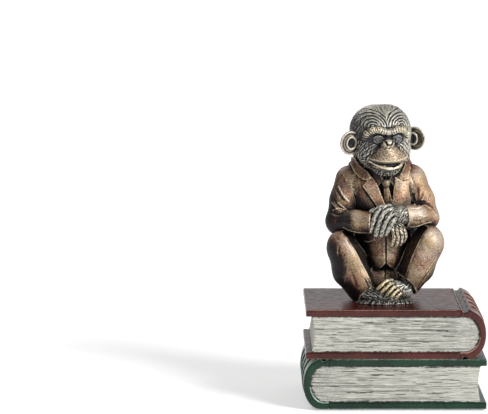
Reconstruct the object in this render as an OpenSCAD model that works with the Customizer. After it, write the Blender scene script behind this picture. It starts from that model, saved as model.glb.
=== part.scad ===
// A bookend: a monkey in a lounge suit, sitting with crossed feet on two stacked books.
// It is an assembly of painted resin castings, joined with steel dowels, on felt pads.
// Millimetres. +Z is up, the monkey looks along -Y, and the origin is under the middle of the lower book.
// "left" and "right" are the monkey's own, so its left side is at +X.

/* [Books] */
// Length over both books and the lower spine's bands
full_length = 104; // [96:0.1:112]
// How much shorter the upper book is than the lower one
upper_short = 2; // [0:0.1:4]
// Depth of both books, from head to tail
book_depth = 76; // [70:0.5:90]
// Thickness of the lower book over its boards
lower_height = 28.6; // [26:0.1:32]
// Thickness of the upper book over its boards
upper_height = 28.2; // [26:0.1:32]
// Thickness of a cover board
board_t = 3.9; // [3:0.1:5]
// Thickness of a spine
spine_t = 3.6; // [3:0.1:4.5]
// How far the boards stand past the pages at the fore edge
fore_overhang = 3.4; // [2:0.1:5]
// How far the boards stand past the pages at the head and tail
end_overhang = 1.2; // [0.6:0.1:2]
// Hollow of the pages' fore edge
fore_hollow = 1.4; // [0.5:0.1:2.5]

/* [Spines] */
// Width of the groove between board and spine
groove_w = 4.2; // [3:0.1:5]
// Depth of that groove
groove_d = 1.3; // [0.8:0.1:1.8]
// Number of raised bands on a spine
band_count = 4; // [2:1:5]
// Distance between neighbouring bands
band_pitch = 15.4; // [12:0.1:16]
// Width of a band
band_w = 2.2; // [1.5:0.1:3]
// How far a band stands up from the spine
band_rise = 0.6; // [0.4:0.1:1]

/* [Fastening] */
// Radius of the steel dowels
dowel_r = 2; // [1.5:0.1:2.5]
// Length of a dowel
dowel_length = 22; // [18:0.5:24]
// Clearance round a dowel, for glue
dowel_gap = 0.1; // [0.05:0.01:0.2]
// Radius of a felt pad
pad_r = 6; // [4:0.5:8]
// Thickness of a felt pad
pad_t = 1.6; // [1.2:0.1:2]
// How far a felt pad stands below the board
pad_drop = 0.8; // [0.5:0.1:1]

/* [Figure] */
// Where the figure's middle stands along the upper book
figure_x = -5.5; // [-8:0.1:-3]
// Radius of the skull across the temples
skull_r = 17; // [16:0.1:18]
// How far the head turns towards the monkey's left, in degrees
head_turn = 12; // [6:0.5:16]
// How far the head bows, in degrees
head_bow = 6; // [2:0.5:10]
// Thickness of the base that the figure sits on
plinth_h = 1.6; // [1:0.1:2.5]

/* [Hidden] */

$fn = 64;
bead_fn = 18;                                  // facets round a sculpted form
deck_z = pad_drop + lower_height + upper_height;
upper_z = pad_drop + lower_height;
lower_length = full_length - band_rise;
upper_length = lower_length - upper_short;
lower_shift = band_rise / 2;                   // keeps the whole part centred on the origin
upper_shift = (full_length - upper_length) / 2 - band_rise;
dowel_sites = [[-9, 12], [9, 12]];             // figure dowels, in the figure's frame
book_dowel_sites = [[-30, 0], [30, 0]];
pad_sites = [[-24, -28], [42, -28], [-24, 28], [42, 28]];
skin = 0.02;                                   // how far a hinge runs into its spine
bore_r = dowel_r + dowel_gap;
bore_length = dowel_length + 1;                // half a millimetre of glue at each end
board_lip = 0.9;                               // chamfer along a board's fore edge
page_lip = 0.4;                                // flat strip above and below the pages' hollow
band_start = 4.5;                              // where a band starts, past the middle of the spine
core_r = 5;                                    // resin round a figure dowel
core_h = 14;

head_at = [-0.8, -3, 94.5];                    // middle of the skull, in the figure's frame

// Sculpting helpers

// An ellipsoid at p with radii r
module bead(p, r) translate(p) scale(r) sphere(r = 1, $fn = bead_fn);

// A soft limb through a list of [place, radii]
module limb(stations) {
    for (i = [0 : len(stations) - 2]) {
        hull() {
            bead(stations[i][0], stations[i][1]);
            bead(stations[i + 1][0], stations[i + 1][1]);
        }
    }
}

// One closed surface out of overlapping forms: a resize to zeros keeps every size
module sculpted() resize([0, 0, 0]) children();

// Mirrors +X forms to -X
module other_side() mirror([1, 0, 0]) children();

module in_figure() translate([figure_x, 0, deck_z]) children();

module in_head() translate(head_at) rotate([head_bow, 0, head_turn]) children();

function round_r(r) = [r, r, r];

// Books. A book's profile lies in XZ: the spine at +X, the pages' middle at z = 0, the fore edge at -X.

function spine_centre(length, height) = length / 2 - height / 2;

module book_extrude(depth) rotate([90, 0, 0]) linear_extrude(depth, center = true) children();

// The flat board, from the fore edge to the groove
module board_profile(length, height) {
    joint_x = spine_centre(length, height) - groove_w;
    difference() {
        translate([-length / 2, height / 2 - board_t]) square([joint_x + length / 2, board_t]);
        // rounded lips at the fore edge
        for (up = [0, 1]) {
            translate([-length / 2, height / 2 - up * board_t]) rotate(45) square(board_lip, center = true);
        }
    }
}

module board(length, height, top) {
    flip = top ? 0 : 1;
    mirror([0, 0, flip]) book_extrude(book_depth) board_profile(length, height);
}

// The rounded spine with its thin hinges, which run under the grooves to the boards
module spine(length, height) {
    cx = spine_centre(length, height);
    hinge_t = board_t - groove_d;
    book_extrude(book_depth) {
        difference() {
            translate([cx, 0]) circle(height / 2);
            translate([cx, 0]) circle(height / 2 - spine_t);
            translate([cx - height, -height / 2]) square([height, height]);
        }
        for (side = [-1, 1]) {
            translate([cx - groove_w, side * (height / 2 - board_t + hinge_t / 2) - hinge_t / 2]) {
                square([groove_w + skin, hinge_t]);
            }
        }
    }
}

// Raised bands across the spine
module spine_bands(length, height) {
    cx = spine_centre(length, height);
    for (i = [0 : band_count - 1]) {
        translate([cx, (i - (band_count - 1) / 2) * band_pitch, 0]) {
            book_extrude(band_w) {
                difference() {
                    circle(height / 2 + band_rise);
                    circle(height / 2);
                    translate([-height, -height]) square([height + band_start, 2 * height]);
                }
            }
        }
    }
}

// The page block, round at the spine and hollow at the fore edge
module pages(length, height) {
    cx = spine_centre(length, height);
    fore_x = -length / 2 + fore_overhang;
    half = height / 2 - board_t;
    hollow_half = half - page_lip;
    hollow_r = (hollow_half * hollow_half + fore_hollow * fore_hollow) / (2 * fore_hollow);
    book_extrude(book_depth - 2 * end_overhang) {
        difference() {
            intersection() {
                union() {
                    translate([cx - length, -height]) square([length, 2 * height]);
                    translate([cx, 0]) circle(height / 2 - spine_t);
                }
                translate([fore_x, -half]) square([length, 2 * half]);
            }
            translate([fore_x - hollow_r + fore_hollow, 0]) circle(hollow_r);
        }
    }
}

module in_lower_book() {
    translate([lower_shift, 0, pad_drop + lower_height / 2]) mirror([1, 0, 0]) children();
}

module in_upper_book() {
    translate([upper_shift, 0, upper_z + upper_height / 2]) children();
}

module dowels(sites, z, r, length) {
    for (p = sites) {
        translate([p[0], p[1], z - length / 2]) cylinder(r = r, h = length);
    }
}

module figure_dowel_set(r, length) {
    translate([figure_x, 0, 0]) dowels(dowel_sites, deck_z, r, length);
}

module book_dowel_set(r, length) dowels(book_dowel_sites, upper_z, r, length);

module pad_set(drop, rise) {
    for (p = pad_sites) {
        translate([p[0], p[1], -drop]) cylinder(r = pad_r, h = drop + rise);
    }
}

module foot_pads() color("dimgray") pad_set(0, pad_t);

module lower_book_bottom_board() color("darkgreen") difference() {
    in_lower_book() board(lower_length, lower_height, false);
    pad_set(1, pad_t + 1);
}

module lower_book_top_board() color("darkgreen") difference() {
    in_lower_book() board(lower_length, lower_height, true);
    book_dowel_set(bore_r, bore_length);
}

module lower_book_spine() color("darkgreen") in_lower_book() spine(lower_length, lower_height);

module lower_book_spine_bands() {
    color("darkgreen") in_lower_book() spine_bands(lower_length, lower_height);
}

module lower_book_pages() color("ivory") difference() {
    in_lower_book() pages(lower_length, lower_height);
    book_dowel_set(bore_r, bore_length);
}

module upper_book_bottom_board() color("maroon") difference() {
    in_upper_book() board(upper_length, upper_height, false);
    book_dowel_set(bore_r, bore_length);
}

module upper_book_top_board() color("maroon") difference() {
    in_upper_book() board(upper_length, upper_height, true);
    figure_dowel_set(bore_r, bore_length);
}

module upper_book_spine() color("maroon") in_upper_book() spine(upper_length, upper_height);

module upper_book_spine_bands() {
    color("maroon") in_upper_book() spine_bands(upper_length, upper_height);
}

module upper_book_pages() color("ivory") difference() {
    in_upper_book() pages(upper_length, upper_height);
    book_dowel_set(bore_r, bore_length);
    figure_dowel_set(bore_r, bore_length);
}

module book_dowels() color("silver") book_dowel_set(dowel_r, dowel_length);

module figure_dowels() color("silver") figure_dowel_set(dowel_r, dowel_length);

// Forms of the figure, in its own frame: z = 0 on the upper book

module plinth_form() {
    hull() {
        translate([0, -6, 0]) scale([19.5, 16.5, 1]) cylinder(r = 1, h = plinth_h, $fn = 40);
        translate([0, 12, 0]) scale([20, 16, 1]) cylinder(r = 1, h = plinth_h, $fn = 40);
    }
}

module seat_form() {
    hull() {
        bead([-9, 9, 12], [13, 17, 12]);
        bead([9, 9, 12], [13, 17, 12]);
    }
}

// The solid core of the seat, which holds the dowels
module seat_core() hull() {
    for (p = dowel_sites) {
        translate([p[0], p[1], plinth_h]) cylinder(r = core_r, h = core_h - plinth_h, $fn = 32);
    }
}

// A leg drawn up: hip, knee, shin and the trouser's hem at the ankle
module left_leg_form() limb([
    [[11, 5, 13], [11, 12, 12]],
    [[25, -11, 33], [8.6, 9, 9.6]],
    [[21, -12.5, 20], [9, 8.6, 9]],
    [[13.5, -12, 9], [6.8, 7, 7]]
]);

module right_leg_form() other_side() limb([
    [[11, 5, 13], [11, 12, 12]],
    [[24, -11, 31.5], [8.8, 9, 9.2]],
    [[21, -12.5, 20], [9, 8.6, 9]],
    [[13, -12, 8.5], [6.8, 7, 7]]
]);

// The front foot, which points down and towards the monkey's right
module left_foot_form() limb([
    [[12, -12, 9.5], [5, 5, 5]],
    [[6, -15.5, 9], [5.4, 4.6, 5]],
    [[1, -18, 6.4], [6, 3.6, 4.6]]
]);

module right_foot_form() limb([
    [[-12, -12, 6], [4.6, 5, 4.6]],
    [[-5, -15, 5], [5, 5, 4.4]],
    [[3, -18.5, 3.6], [6, 4.4, 3.4]]
]);

module torso_form() limb([
    [[0, 11, 16], [19.5, 17, 12]],
    [[0, 8.5, 32], [19.5, 16.5, 13]],
    [[0, 6, 50], [18.5, 14.5, 12]],
    [[0, 4.5, 62], [18, 11.5, 11]]
]);

module shoulder_form() hull() {
    bead([-13, 4.5, 66], [9.5, 9.5, 8.6]);
    bead([13, 4.5, 66], [9.5, 9.5, 8.6]);
    bead([0, 4.5, 70], [11, 10.5, 8.5]);
}

// An arm in its sleeve: shoulder, elbow on the knee, and the cuff in front of the waist
module left_sleeve_form() limb([
    [[17, 3.6, 66], [9, 9, 9]],
    [[22, 1, 55], [8.6, 8.6, 8.8]],
    [[25, -2.5, 46], [7.4, 7.8, 7.4]],
    [[17.5, -13, 49], [6.2, 6.2, 6.6]],
    [[13.4, -16.2, 50], [5.4, 5.8, 6.6]]
]);

module right_sleeve_form() limb([
    [[-17, 3.6, 66], [9, 9, 9]],
    [[-22, 1, 55], [8.6, 8.6, 8.8]],
    [[-25.6, -2.5, 44], [7.4, 7.8, 7.4]],
    [[-16, -13, 46], [6.2, 6.2, 6.6]],
    [[-10, -16.2, 46.6], [5.4, 5.8, 6.6]]
]);

// The upper hand, laid over the other wrist, with its fingers hanging
module left_hand_form() limb([
    [[10, -17.5, 50.5], [4.6, 4.6, 5.2]],
    [[3, -20.5, 49.6], [5, 4, 4.6]],
    [[-3, -21.6, 44.6], [5, 3, 4.6]]
]);

module right_hand_form() limb([
    [[-8, -16, 46.6], [4.4, 4.4, 4.8]],
    [[1, -17.4, 46], [5, 3.4, 4.2]],
    [[6.4, -18, 43], [4.2, 3.4, 4.4]],
    [[7.6, -18.4, 36.4], [3.8, 2.8, 4]]
]);

module waistcoat_form() limb([
    [[1, -1, 58], [7.5, 9.4, 9]],
    [[1, -1.5, 42], [12, 11, 12]],
    [[1, -2.5, 26], [11, 10, 10]]
]);

module necktie_form() {
    bead([2.4, -11.6, 66.4], [2.6, 2, 2.2]);
    hull() {
        bead([2.4, -11.6, 65], [1.4, 1.6, 1.4]);
        bead([2.4, -13, 56], [2.9, 1.6, 2]);
    }
}

module shirt_collar_form() {
    for (side = [-1, 1]) {
        hull() {
            bead([2.2 + side * 2.2, -10.6, 70], [1.6, 2, 2]);
            bead([2.2 + side * 8, -7, 73.4], [1.6, 2.4, 2.4]);
            bead([2.2 + side * 5.4, -10.6, 65.6], [1.4, 1.8, 1.6]);
        }
    }
}

// A lapel: a thin leaf from the collar's notch to the closing
module left_lapel_form() hull() {
    bead([8, -8.6, 70.5], [1.4, 1.6, 1.8]);
    bead([13.4, -6.8, 66], [1.4, 1.6, 1.6]);
    bead([6, -13, 54], [1.4, 1.8, 1.6]);
}

module right_lapel_form() hull() {
    bead([-4.4, -9, 70.5], [1.4, 1.6, 1.8]);
    bead([-11.4, -7, 66], [1.4, 1.6, 1.6]);
    bead([-1.4, -13, 54], [1.4, 1.8, 1.6]);
}

module collar_form() limb([
    [[-9.5, -6, 70.6], [3.4, 2.4, 2.6]],
    [[-13.4, 4, 75], [3, 4, 3]],
    [[-8, 12, 77.6], [3, 3, 3.4]],
    [[8, 12, 77.6], [3, 3, 3.4]],
    [[13.4, 4, 75], [3, 4, 3]],
    [[11.5, -6, 70.6], [3.4, 2.4, 2.6]]
]);

module neck_form() limb([
    [[-0.6, 1, 82], [12.5, 11, 9]],
    [[0, 1.4, 72], [10.5, 10.5, 8]]
]);

module head_form() in_head() {
    bead([0, 3, 0], [skull_r, skull_r, skull_r]);
    hull() {
        bead([-6, -9.5, 2.6], [8, 6, 4.6]);
        bead([6, -9.5, 2.6], [8, 6, 4.6]);
    }
    hull() {
        bead([-6.5, -6, -9], [8.6, 8, 8]);
        bead([6.5, -6, -9], [8.6, 8, 8]);
    }
    hull() {
        bead([0, -13.4, -8], [9.4, 7.6, 6.4]);
        bead([0, -12, -13], [10.6, 8, 5.6]);
    }
    bead([0, -10, -18.4], [8.6, 8, 5]);
    bead([0, -18.6, -2.2], [3.2, 2.6, 2.2]);
}

module eye_form() in_head() for (side = [-1, 1]) bead([side * 5.2, -14.2, -0.8], round_r(2.4));

module ear_form() {
    difference() {
        bead([20.4, 3.4, -2.6], [6.2, 3, 7]);
        bead([21, 0.6, -2.6], [3.8, 2.2, 4.6]);
    }
}

// Solids of the figure. Each one gives way to the ones that it carries or holds.

module figure_plinth() color("darkgray") in_figure() difference() {
    plinth_form();
    dowels(dowel_sites, 0, bore_r, bore_length);
}

module trousers_seat() color("saddlebrown") in_figure() difference() {
    sculpted() {
        difference() {
            seat_form();
            plinth_cut();
            left_leg_form();
            right_leg_form();
        }
        seat_core();
    }
    dowels(dowel_sites, 0, bore_r, bore_length);
}

// Everything below the top of the plinth
module plinth_cut() translate([-50, -50, -50]) cube([100, 100, 50 + plinth_h]);

// The space between the thighs in front of the seat
module lap_cut() translate([-12, -20, 0]) cube([24, 20, 22]);

module left_trouser_leg() color("saddlebrown") in_figure() sculpted() difference() {
    left_leg_form();
    plinth_cut();
    seat_core();
    left_foot_form();
    translate([-100, -50, 0]) cube([100, 100, 100]);
}

module right_trouser_leg() color("saddlebrown") in_figure() sculpted() difference() {
    right_leg_form();
    plinth_cut();
    seat_core();
    left_foot_form();
    right_foot_form();
    translate([0, -50, 0]) cube([100, 100, 100]);
}

module left_foot() color("gray") in_figure() sculpted() difference() {
    left_foot_form();
    plinth_cut();
}

module right_foot() color("gray") in_figure() sculpted() difference() {
    right_foot_form();
    plinth_cut();
    left_foot_form();
    left_leg_form();
}

module jacket() color("sienna") in_figure() sculpted() difference() {
    union() {
        torso_form();
        shoulder_form();
    }
    plinth_cut();
    lap_cut();
    seat_form();
    left_leg_form();
    right_leg_form();
    left_sleeve_form();
    right_sleeve_form();
    left_hand_form();
    right_hand_form();
    waistcoat_form();
    necktie_form();
    shirt_collar_form();
    left_lapel_form();
    right_lapel_form();
    collar_form();
    neck_form();
    head_form();
}

module jacket_collar() color("sienna") in_figure() sculpted() difference() {
    collar_form();
    neck_form();
    head_form();
    shirt_collar_form();
    left_lapel_form();
    right_lapel_form();
}

module left_lapel() color("sienna") in_figure() sculpted() difference() {
    left_lapel_form();
    neck_form();
    necktie_form();
    shirt_collar_form();
}

module right_lapel() color("sienna") in_figure() sculpted() difference() {
    right_lapel_form();
    neck_form();
    necktie_form();
    shirt_collar_form();
}

module left_sleeve() color("sienna") in_figure() sculpted() difference() {
    left_sleeve_form();
    left_hand_form();
    right_hand_form();
    left_leg_form();
    neck_form();
    collar_form();
    left_lapel_form();
}

module right_sleeve() color("sienna") in_figure() sculpted() difference() {
    right_sleeve_form();
    left_hand_form();
    right_hand_form();
    right_leg_form();
    neck_form();
    collar_form();
    right_lapel_form();
}

module left_hand() color("gray") in_figure() sculpted() left_hand_form();

module right_hand() color("gray") in_figure() sculpted() difference() {
    right_hand_form();
    left_hand_form();
}

module waistcoat() color("brown") in_figure() sculpted() difference() {
    waistcoat_form();
    left_hand_form();
    right_hand_form();
    left_sleeve_form();
    right_sleeve_form();
    left_leg_form();
    right_leg_form();
    seat_form();
    left_foot_form();
    right_foot_form();
    necktie_form();
    shirt_collar_form();
    left_lapel_form();
    right_lapel_form();
    neck_form();
    button_forms();
}

module button_forms() {
    for (z = [33.5, 26.5]) {
        translate([2.8, -12, z]) rotate([90, 0, 0]) cylinder(r = 0.9, h = 2, $fn = 24);
    }
}

module waistcoat_buttons() color("gold") in_figure() button_forms();

module necktie() color("sienna") in_figure() sculpted() necktie_form();

module shirt_collar() color("tan") in_figure() sculpted() difference() {
    shirt_collar_form();
    neck_form();
    necktie_form();
    head_form();
}

module neck_fur() color("gray") in_figure() sculpted() difference() {
    neck_form();
    head_form();
    necktie_form();
}

module head() color("gray") in_figure() sculpted() difference() {
    head_form();
    eye_form();
}

module eyes() color("black") in_figure() sculpted() eye_form();

module left_ear() color("gray") in_figure() sculpted() difference() {
    in_head() ear_form();
    head_form();
}

module right_ear() color("gray") in_figure() sculpted() difference() {
    in_head() other_side() ear_form();
    head_form();
}

foot_pads();
lower_book_bottom_board();
lower_book_top_board();
lower_book_spine();
lower_book_spine_bands();
lower_book_pages();
upper_book_bottom_board();
upper_book_top_board();
upper_book_spine();
upper_book_spine_bands();
upper_book_pages();
book_dowels();
figure_dowels();
figure_plinth();
trousers_seat();
left_trouser_leg();
right_trouser_leg();
left_foot();
right_foot();
jacket();
jacket_collar();
left_lapel();
right_lapel();
left_sleeve();
right_sleeve();
left_hand();
right_hand();
waistcoat();
waistcoat_buttons();
necktie();
shirt_collar();
neck_fur();
head();
eyes();
left_ear();
right_ear();
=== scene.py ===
"""A resin bookend: a monkey in a lounge suit sits on two stacked books.

The figure is sculpted as signed distances on grids, in millimetres in the figure's own frame, whose
origin is on the upper book under the middle of the figure. Each form becomes a skin of quads, which is
then combed with hair, pressed with folds and given the attributes that its paint reads. The books are
lattices bent to shape.
"""

import math

import bpy
import numpy as np
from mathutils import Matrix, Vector


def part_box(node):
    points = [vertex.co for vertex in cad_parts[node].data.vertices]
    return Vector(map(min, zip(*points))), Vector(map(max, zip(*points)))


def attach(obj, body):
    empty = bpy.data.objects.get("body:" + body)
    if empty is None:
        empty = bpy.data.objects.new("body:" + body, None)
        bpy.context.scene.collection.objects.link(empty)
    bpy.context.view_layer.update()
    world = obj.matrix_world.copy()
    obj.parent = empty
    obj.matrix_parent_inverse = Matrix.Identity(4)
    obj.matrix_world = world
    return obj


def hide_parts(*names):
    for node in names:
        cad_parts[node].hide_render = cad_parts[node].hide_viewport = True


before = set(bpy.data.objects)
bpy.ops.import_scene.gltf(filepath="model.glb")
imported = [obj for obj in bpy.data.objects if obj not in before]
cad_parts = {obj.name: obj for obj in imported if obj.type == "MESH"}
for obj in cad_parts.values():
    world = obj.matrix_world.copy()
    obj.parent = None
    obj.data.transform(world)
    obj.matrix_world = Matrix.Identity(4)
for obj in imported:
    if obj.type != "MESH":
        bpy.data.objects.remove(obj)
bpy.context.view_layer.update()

MM = 0.001
FAR = 50.0                                     # distance given to a cell that no form has reached, mm


def corner_boxes(node):
    """A CAD node's lowest and highest corner, in mm in the object's frame."""
    low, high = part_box(node)
    return np.array(low) / MM, np.array(high) / MM


plinth_low, plinth_high = corner_boxes("figure_plinth")
FIGURE_AT = np.array([(plinth_low[0] + plinth_high[0]) / 2, 0.0, plinth_low[2]])


def unit(values):
    """Values held between nought and one."""
    return np.clip(values, 0, 1)


# Forms: each is a list of (distance function of open x, y, z arrays, lowest corner, highest corner)

EVERYWHERE = np.full(3, FAR * 10)


def ellipsoid(offset, radii):
    """About how far places are from an ellipsoid, by their x, y and z from its middle."""
    q = [v / r for v, r in zip(offset, radii)]
    k0 = np.sqrt(q[0] ** 2 + q[1] ** 2 + q[2] ** 2)
    k1 = np.sqrt((q[0] / radii[0]) ** 2 + (q[1] / radii[1]) ** 2 + (q[2] / radii[2]) ** 2)
    return k0 * (k0 - 1) / np.maximum(k1, 1e-6)


def turned(x, y, degrees):
    """Places in the axes of a form that is turned about the vertical."""
    cos, sin = math.cos(math.radians(degrees)), math.sin(math.radians(degrees))
    return x * cos + y * sin, y * cos - x * sin


def ball(centre, radii, turn=0.0):
    """An ellipsoid, turned about the vertical by some degrees."""
    c, r = np.array(centre, float), np.array(radii, float)

    def distance(x, y, z):
        x, y, z = x - c[0], y - c[1], z - c[2]
        x, y = turned(x, y, turn) if turn else (x, y)
        return ellipsoid((x, y, z), r)

    reach = r.max() if turn else r
    return [(distance, c - reach, c + reach)]


def bone(a, b, ra, rb):
    """A soft link between two ellipsoids."""
    a, b, ra, rb = (np.array(v, float) for v in (a, b, ra, rb))
    mean = (ra + rb) / 2
    along = (b - a) / mean

    def distance(x, y, z):
        x, y, z = x - a[0], y - a[1], z - a[2]
        t = (x / mean[0] * along[0] + y / mean[1] * along[1] + z / mean[2] * along[2]) / (along @ along)
        t = unit(t)
        r = [ra[i] + (rb[i] - ra[i]) * t for i in range(3)]
        return ellipsoid([v - (b[i] - a[i]) * t for i, v in enumerate((x, y, z))], r)

    return distance, np.minimum(a - ra, b - rb), np.maximum(a + ra, b + rb)


def limb(*stations):
    """A chain of links through (place, radii); one number stands for three equal radii."""
    full = [(p, (r, r, r) if np.isscalar(r) else r) for p, r in stations]
    return [bone(p, q, rp, rq) for (p, rp), (q, rq) in zip(full, full[1:])]


def strand(points, radius):
    """A limb of even thickness through points, thinner at its ends."""
    last = len(points) - 1
    taper = [0.55 if i in (0, last) else 1.0 for i in range(last + 1)]
    return limb(*[(p, radius * t) for p, t in zip(points, taper)])


def ring(centre, radii, tube, turn=0.0):
    """A hoop that faces -Y, turned about the vertical."""
    c = np.array(centre, float)

    def distance(x, y, z):
        x, y = turned(x - c[0], y - c[1], turn)
        z = z - c[2]
        off = (np.sqrt((x / radii[0]) ** 2 + (z / radii[1]) ** 2) - 1) * min(radii)
        return np.sqrt(off * off + y * y) - tube

    reach = max(radii) + tube
    return [(distance, c - reach, c + reach)]


def half_space(point, normal):
    """Everything behind a plane."""
    p, n = np.array(point, float), np.array(normal, float)
    n = n / np.linalg.norm(n)

    def distance(x, y, z):
        return (x - p[0]) * n[0] + (y - p[1]) * n[1] + (z - p[2]) * n[2]

    return [(distance, -EVERYWHERE, EVERYWHERE)]


def outline(points, round_r=0.0):
    """A prism along Y whose section in XZ is a polygon, with its corners rounded."""
    pts = np.array(points, float)

    def distance(x, y, z):
        best, inside = None, None
        for (ax, az), (bx, bz) in zip(pts, np.roll(pts, -1, 0)):
            ex, ez = bx - ax, bz - az
            t = unit(((x - ax) * ex + (z - az) * ez) / (ex * ex + ez * ez))
            d = (x - ax - ex * t) ** 2 + (z - az - ez * t) ** 2
            spans = (az > z) != (bz > z)
            left = x < ax + (z - az) * ex / (ez if abs(ez) > 1e-9 else 1e-9)
            flips = spans & left
            best = d if best is None else np.minimum(best, d)
            inside = flips if inside is None else inside ^ flips
        return np.where(inside, -1, 1) * np.sqrt(best) - round_r + 0 * y

    low, high = pts.min(0) - round_r, pts.max(0) + round_r
    return [(distance, np.array([low[0], -FAR * 10, low[1]]), np.array([high[0], FAR * 10, high[1]]))]


def mirrored(form):
    """A form seen in a mirror across x = 0."""
    def flip(distance):
        return lambda x, y, z: distance(-x, y, z)

    side = np.array([-1, 1, 1])
    return [(flip(d), np.minimum(low * side, high * side), np.maximum(low * side, high * side))
            for d, low, high in form]


def curve(points, step=0.6):
    """A smooth line through points, with a point about every step."""
    p = np.asarray(points, float)
    p = np.concatenate([[2 * p[0] - p[1]], p, [2 * p[-1] - p[-2]]])
    out = []
    for a, b, c, d in zip(p, p[1:], p[2:], p[3:]):
        n = max(2, int(np.linalg.norm(c - b) / step))
        t = np.linspace(0, 1, n, endpoint=False)[:, None]
        square, cube = a - 2.5 * b + 2 * c - d / 2, 1.5 * (b - c) + (d - a) / 2
        out.append(b + t * (c - a) / 2 + t ** 2 * square + t ** 3 * cube)
    return np.concatenate(out + [p[-2:-1]])


def cell_corners(f):
    """The eight corners of a grid cell, and the weight of each at places f within the cell."""
    for corner in np.ndindex(2, 2, 2):
        x, y, z = (f[:, i] if corner[i] else 1 - f[:, i] for i in range(3))
        yield np.array(corner), x * y * z


def smooth_min(a, b, soft):
    soft = np.maximum(soft, 1e-3)
    h = unit(0.5 + 0.5 * (b - a) / soft)
    return b + (a - b) * h - soft * h * (1 - h)


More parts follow.
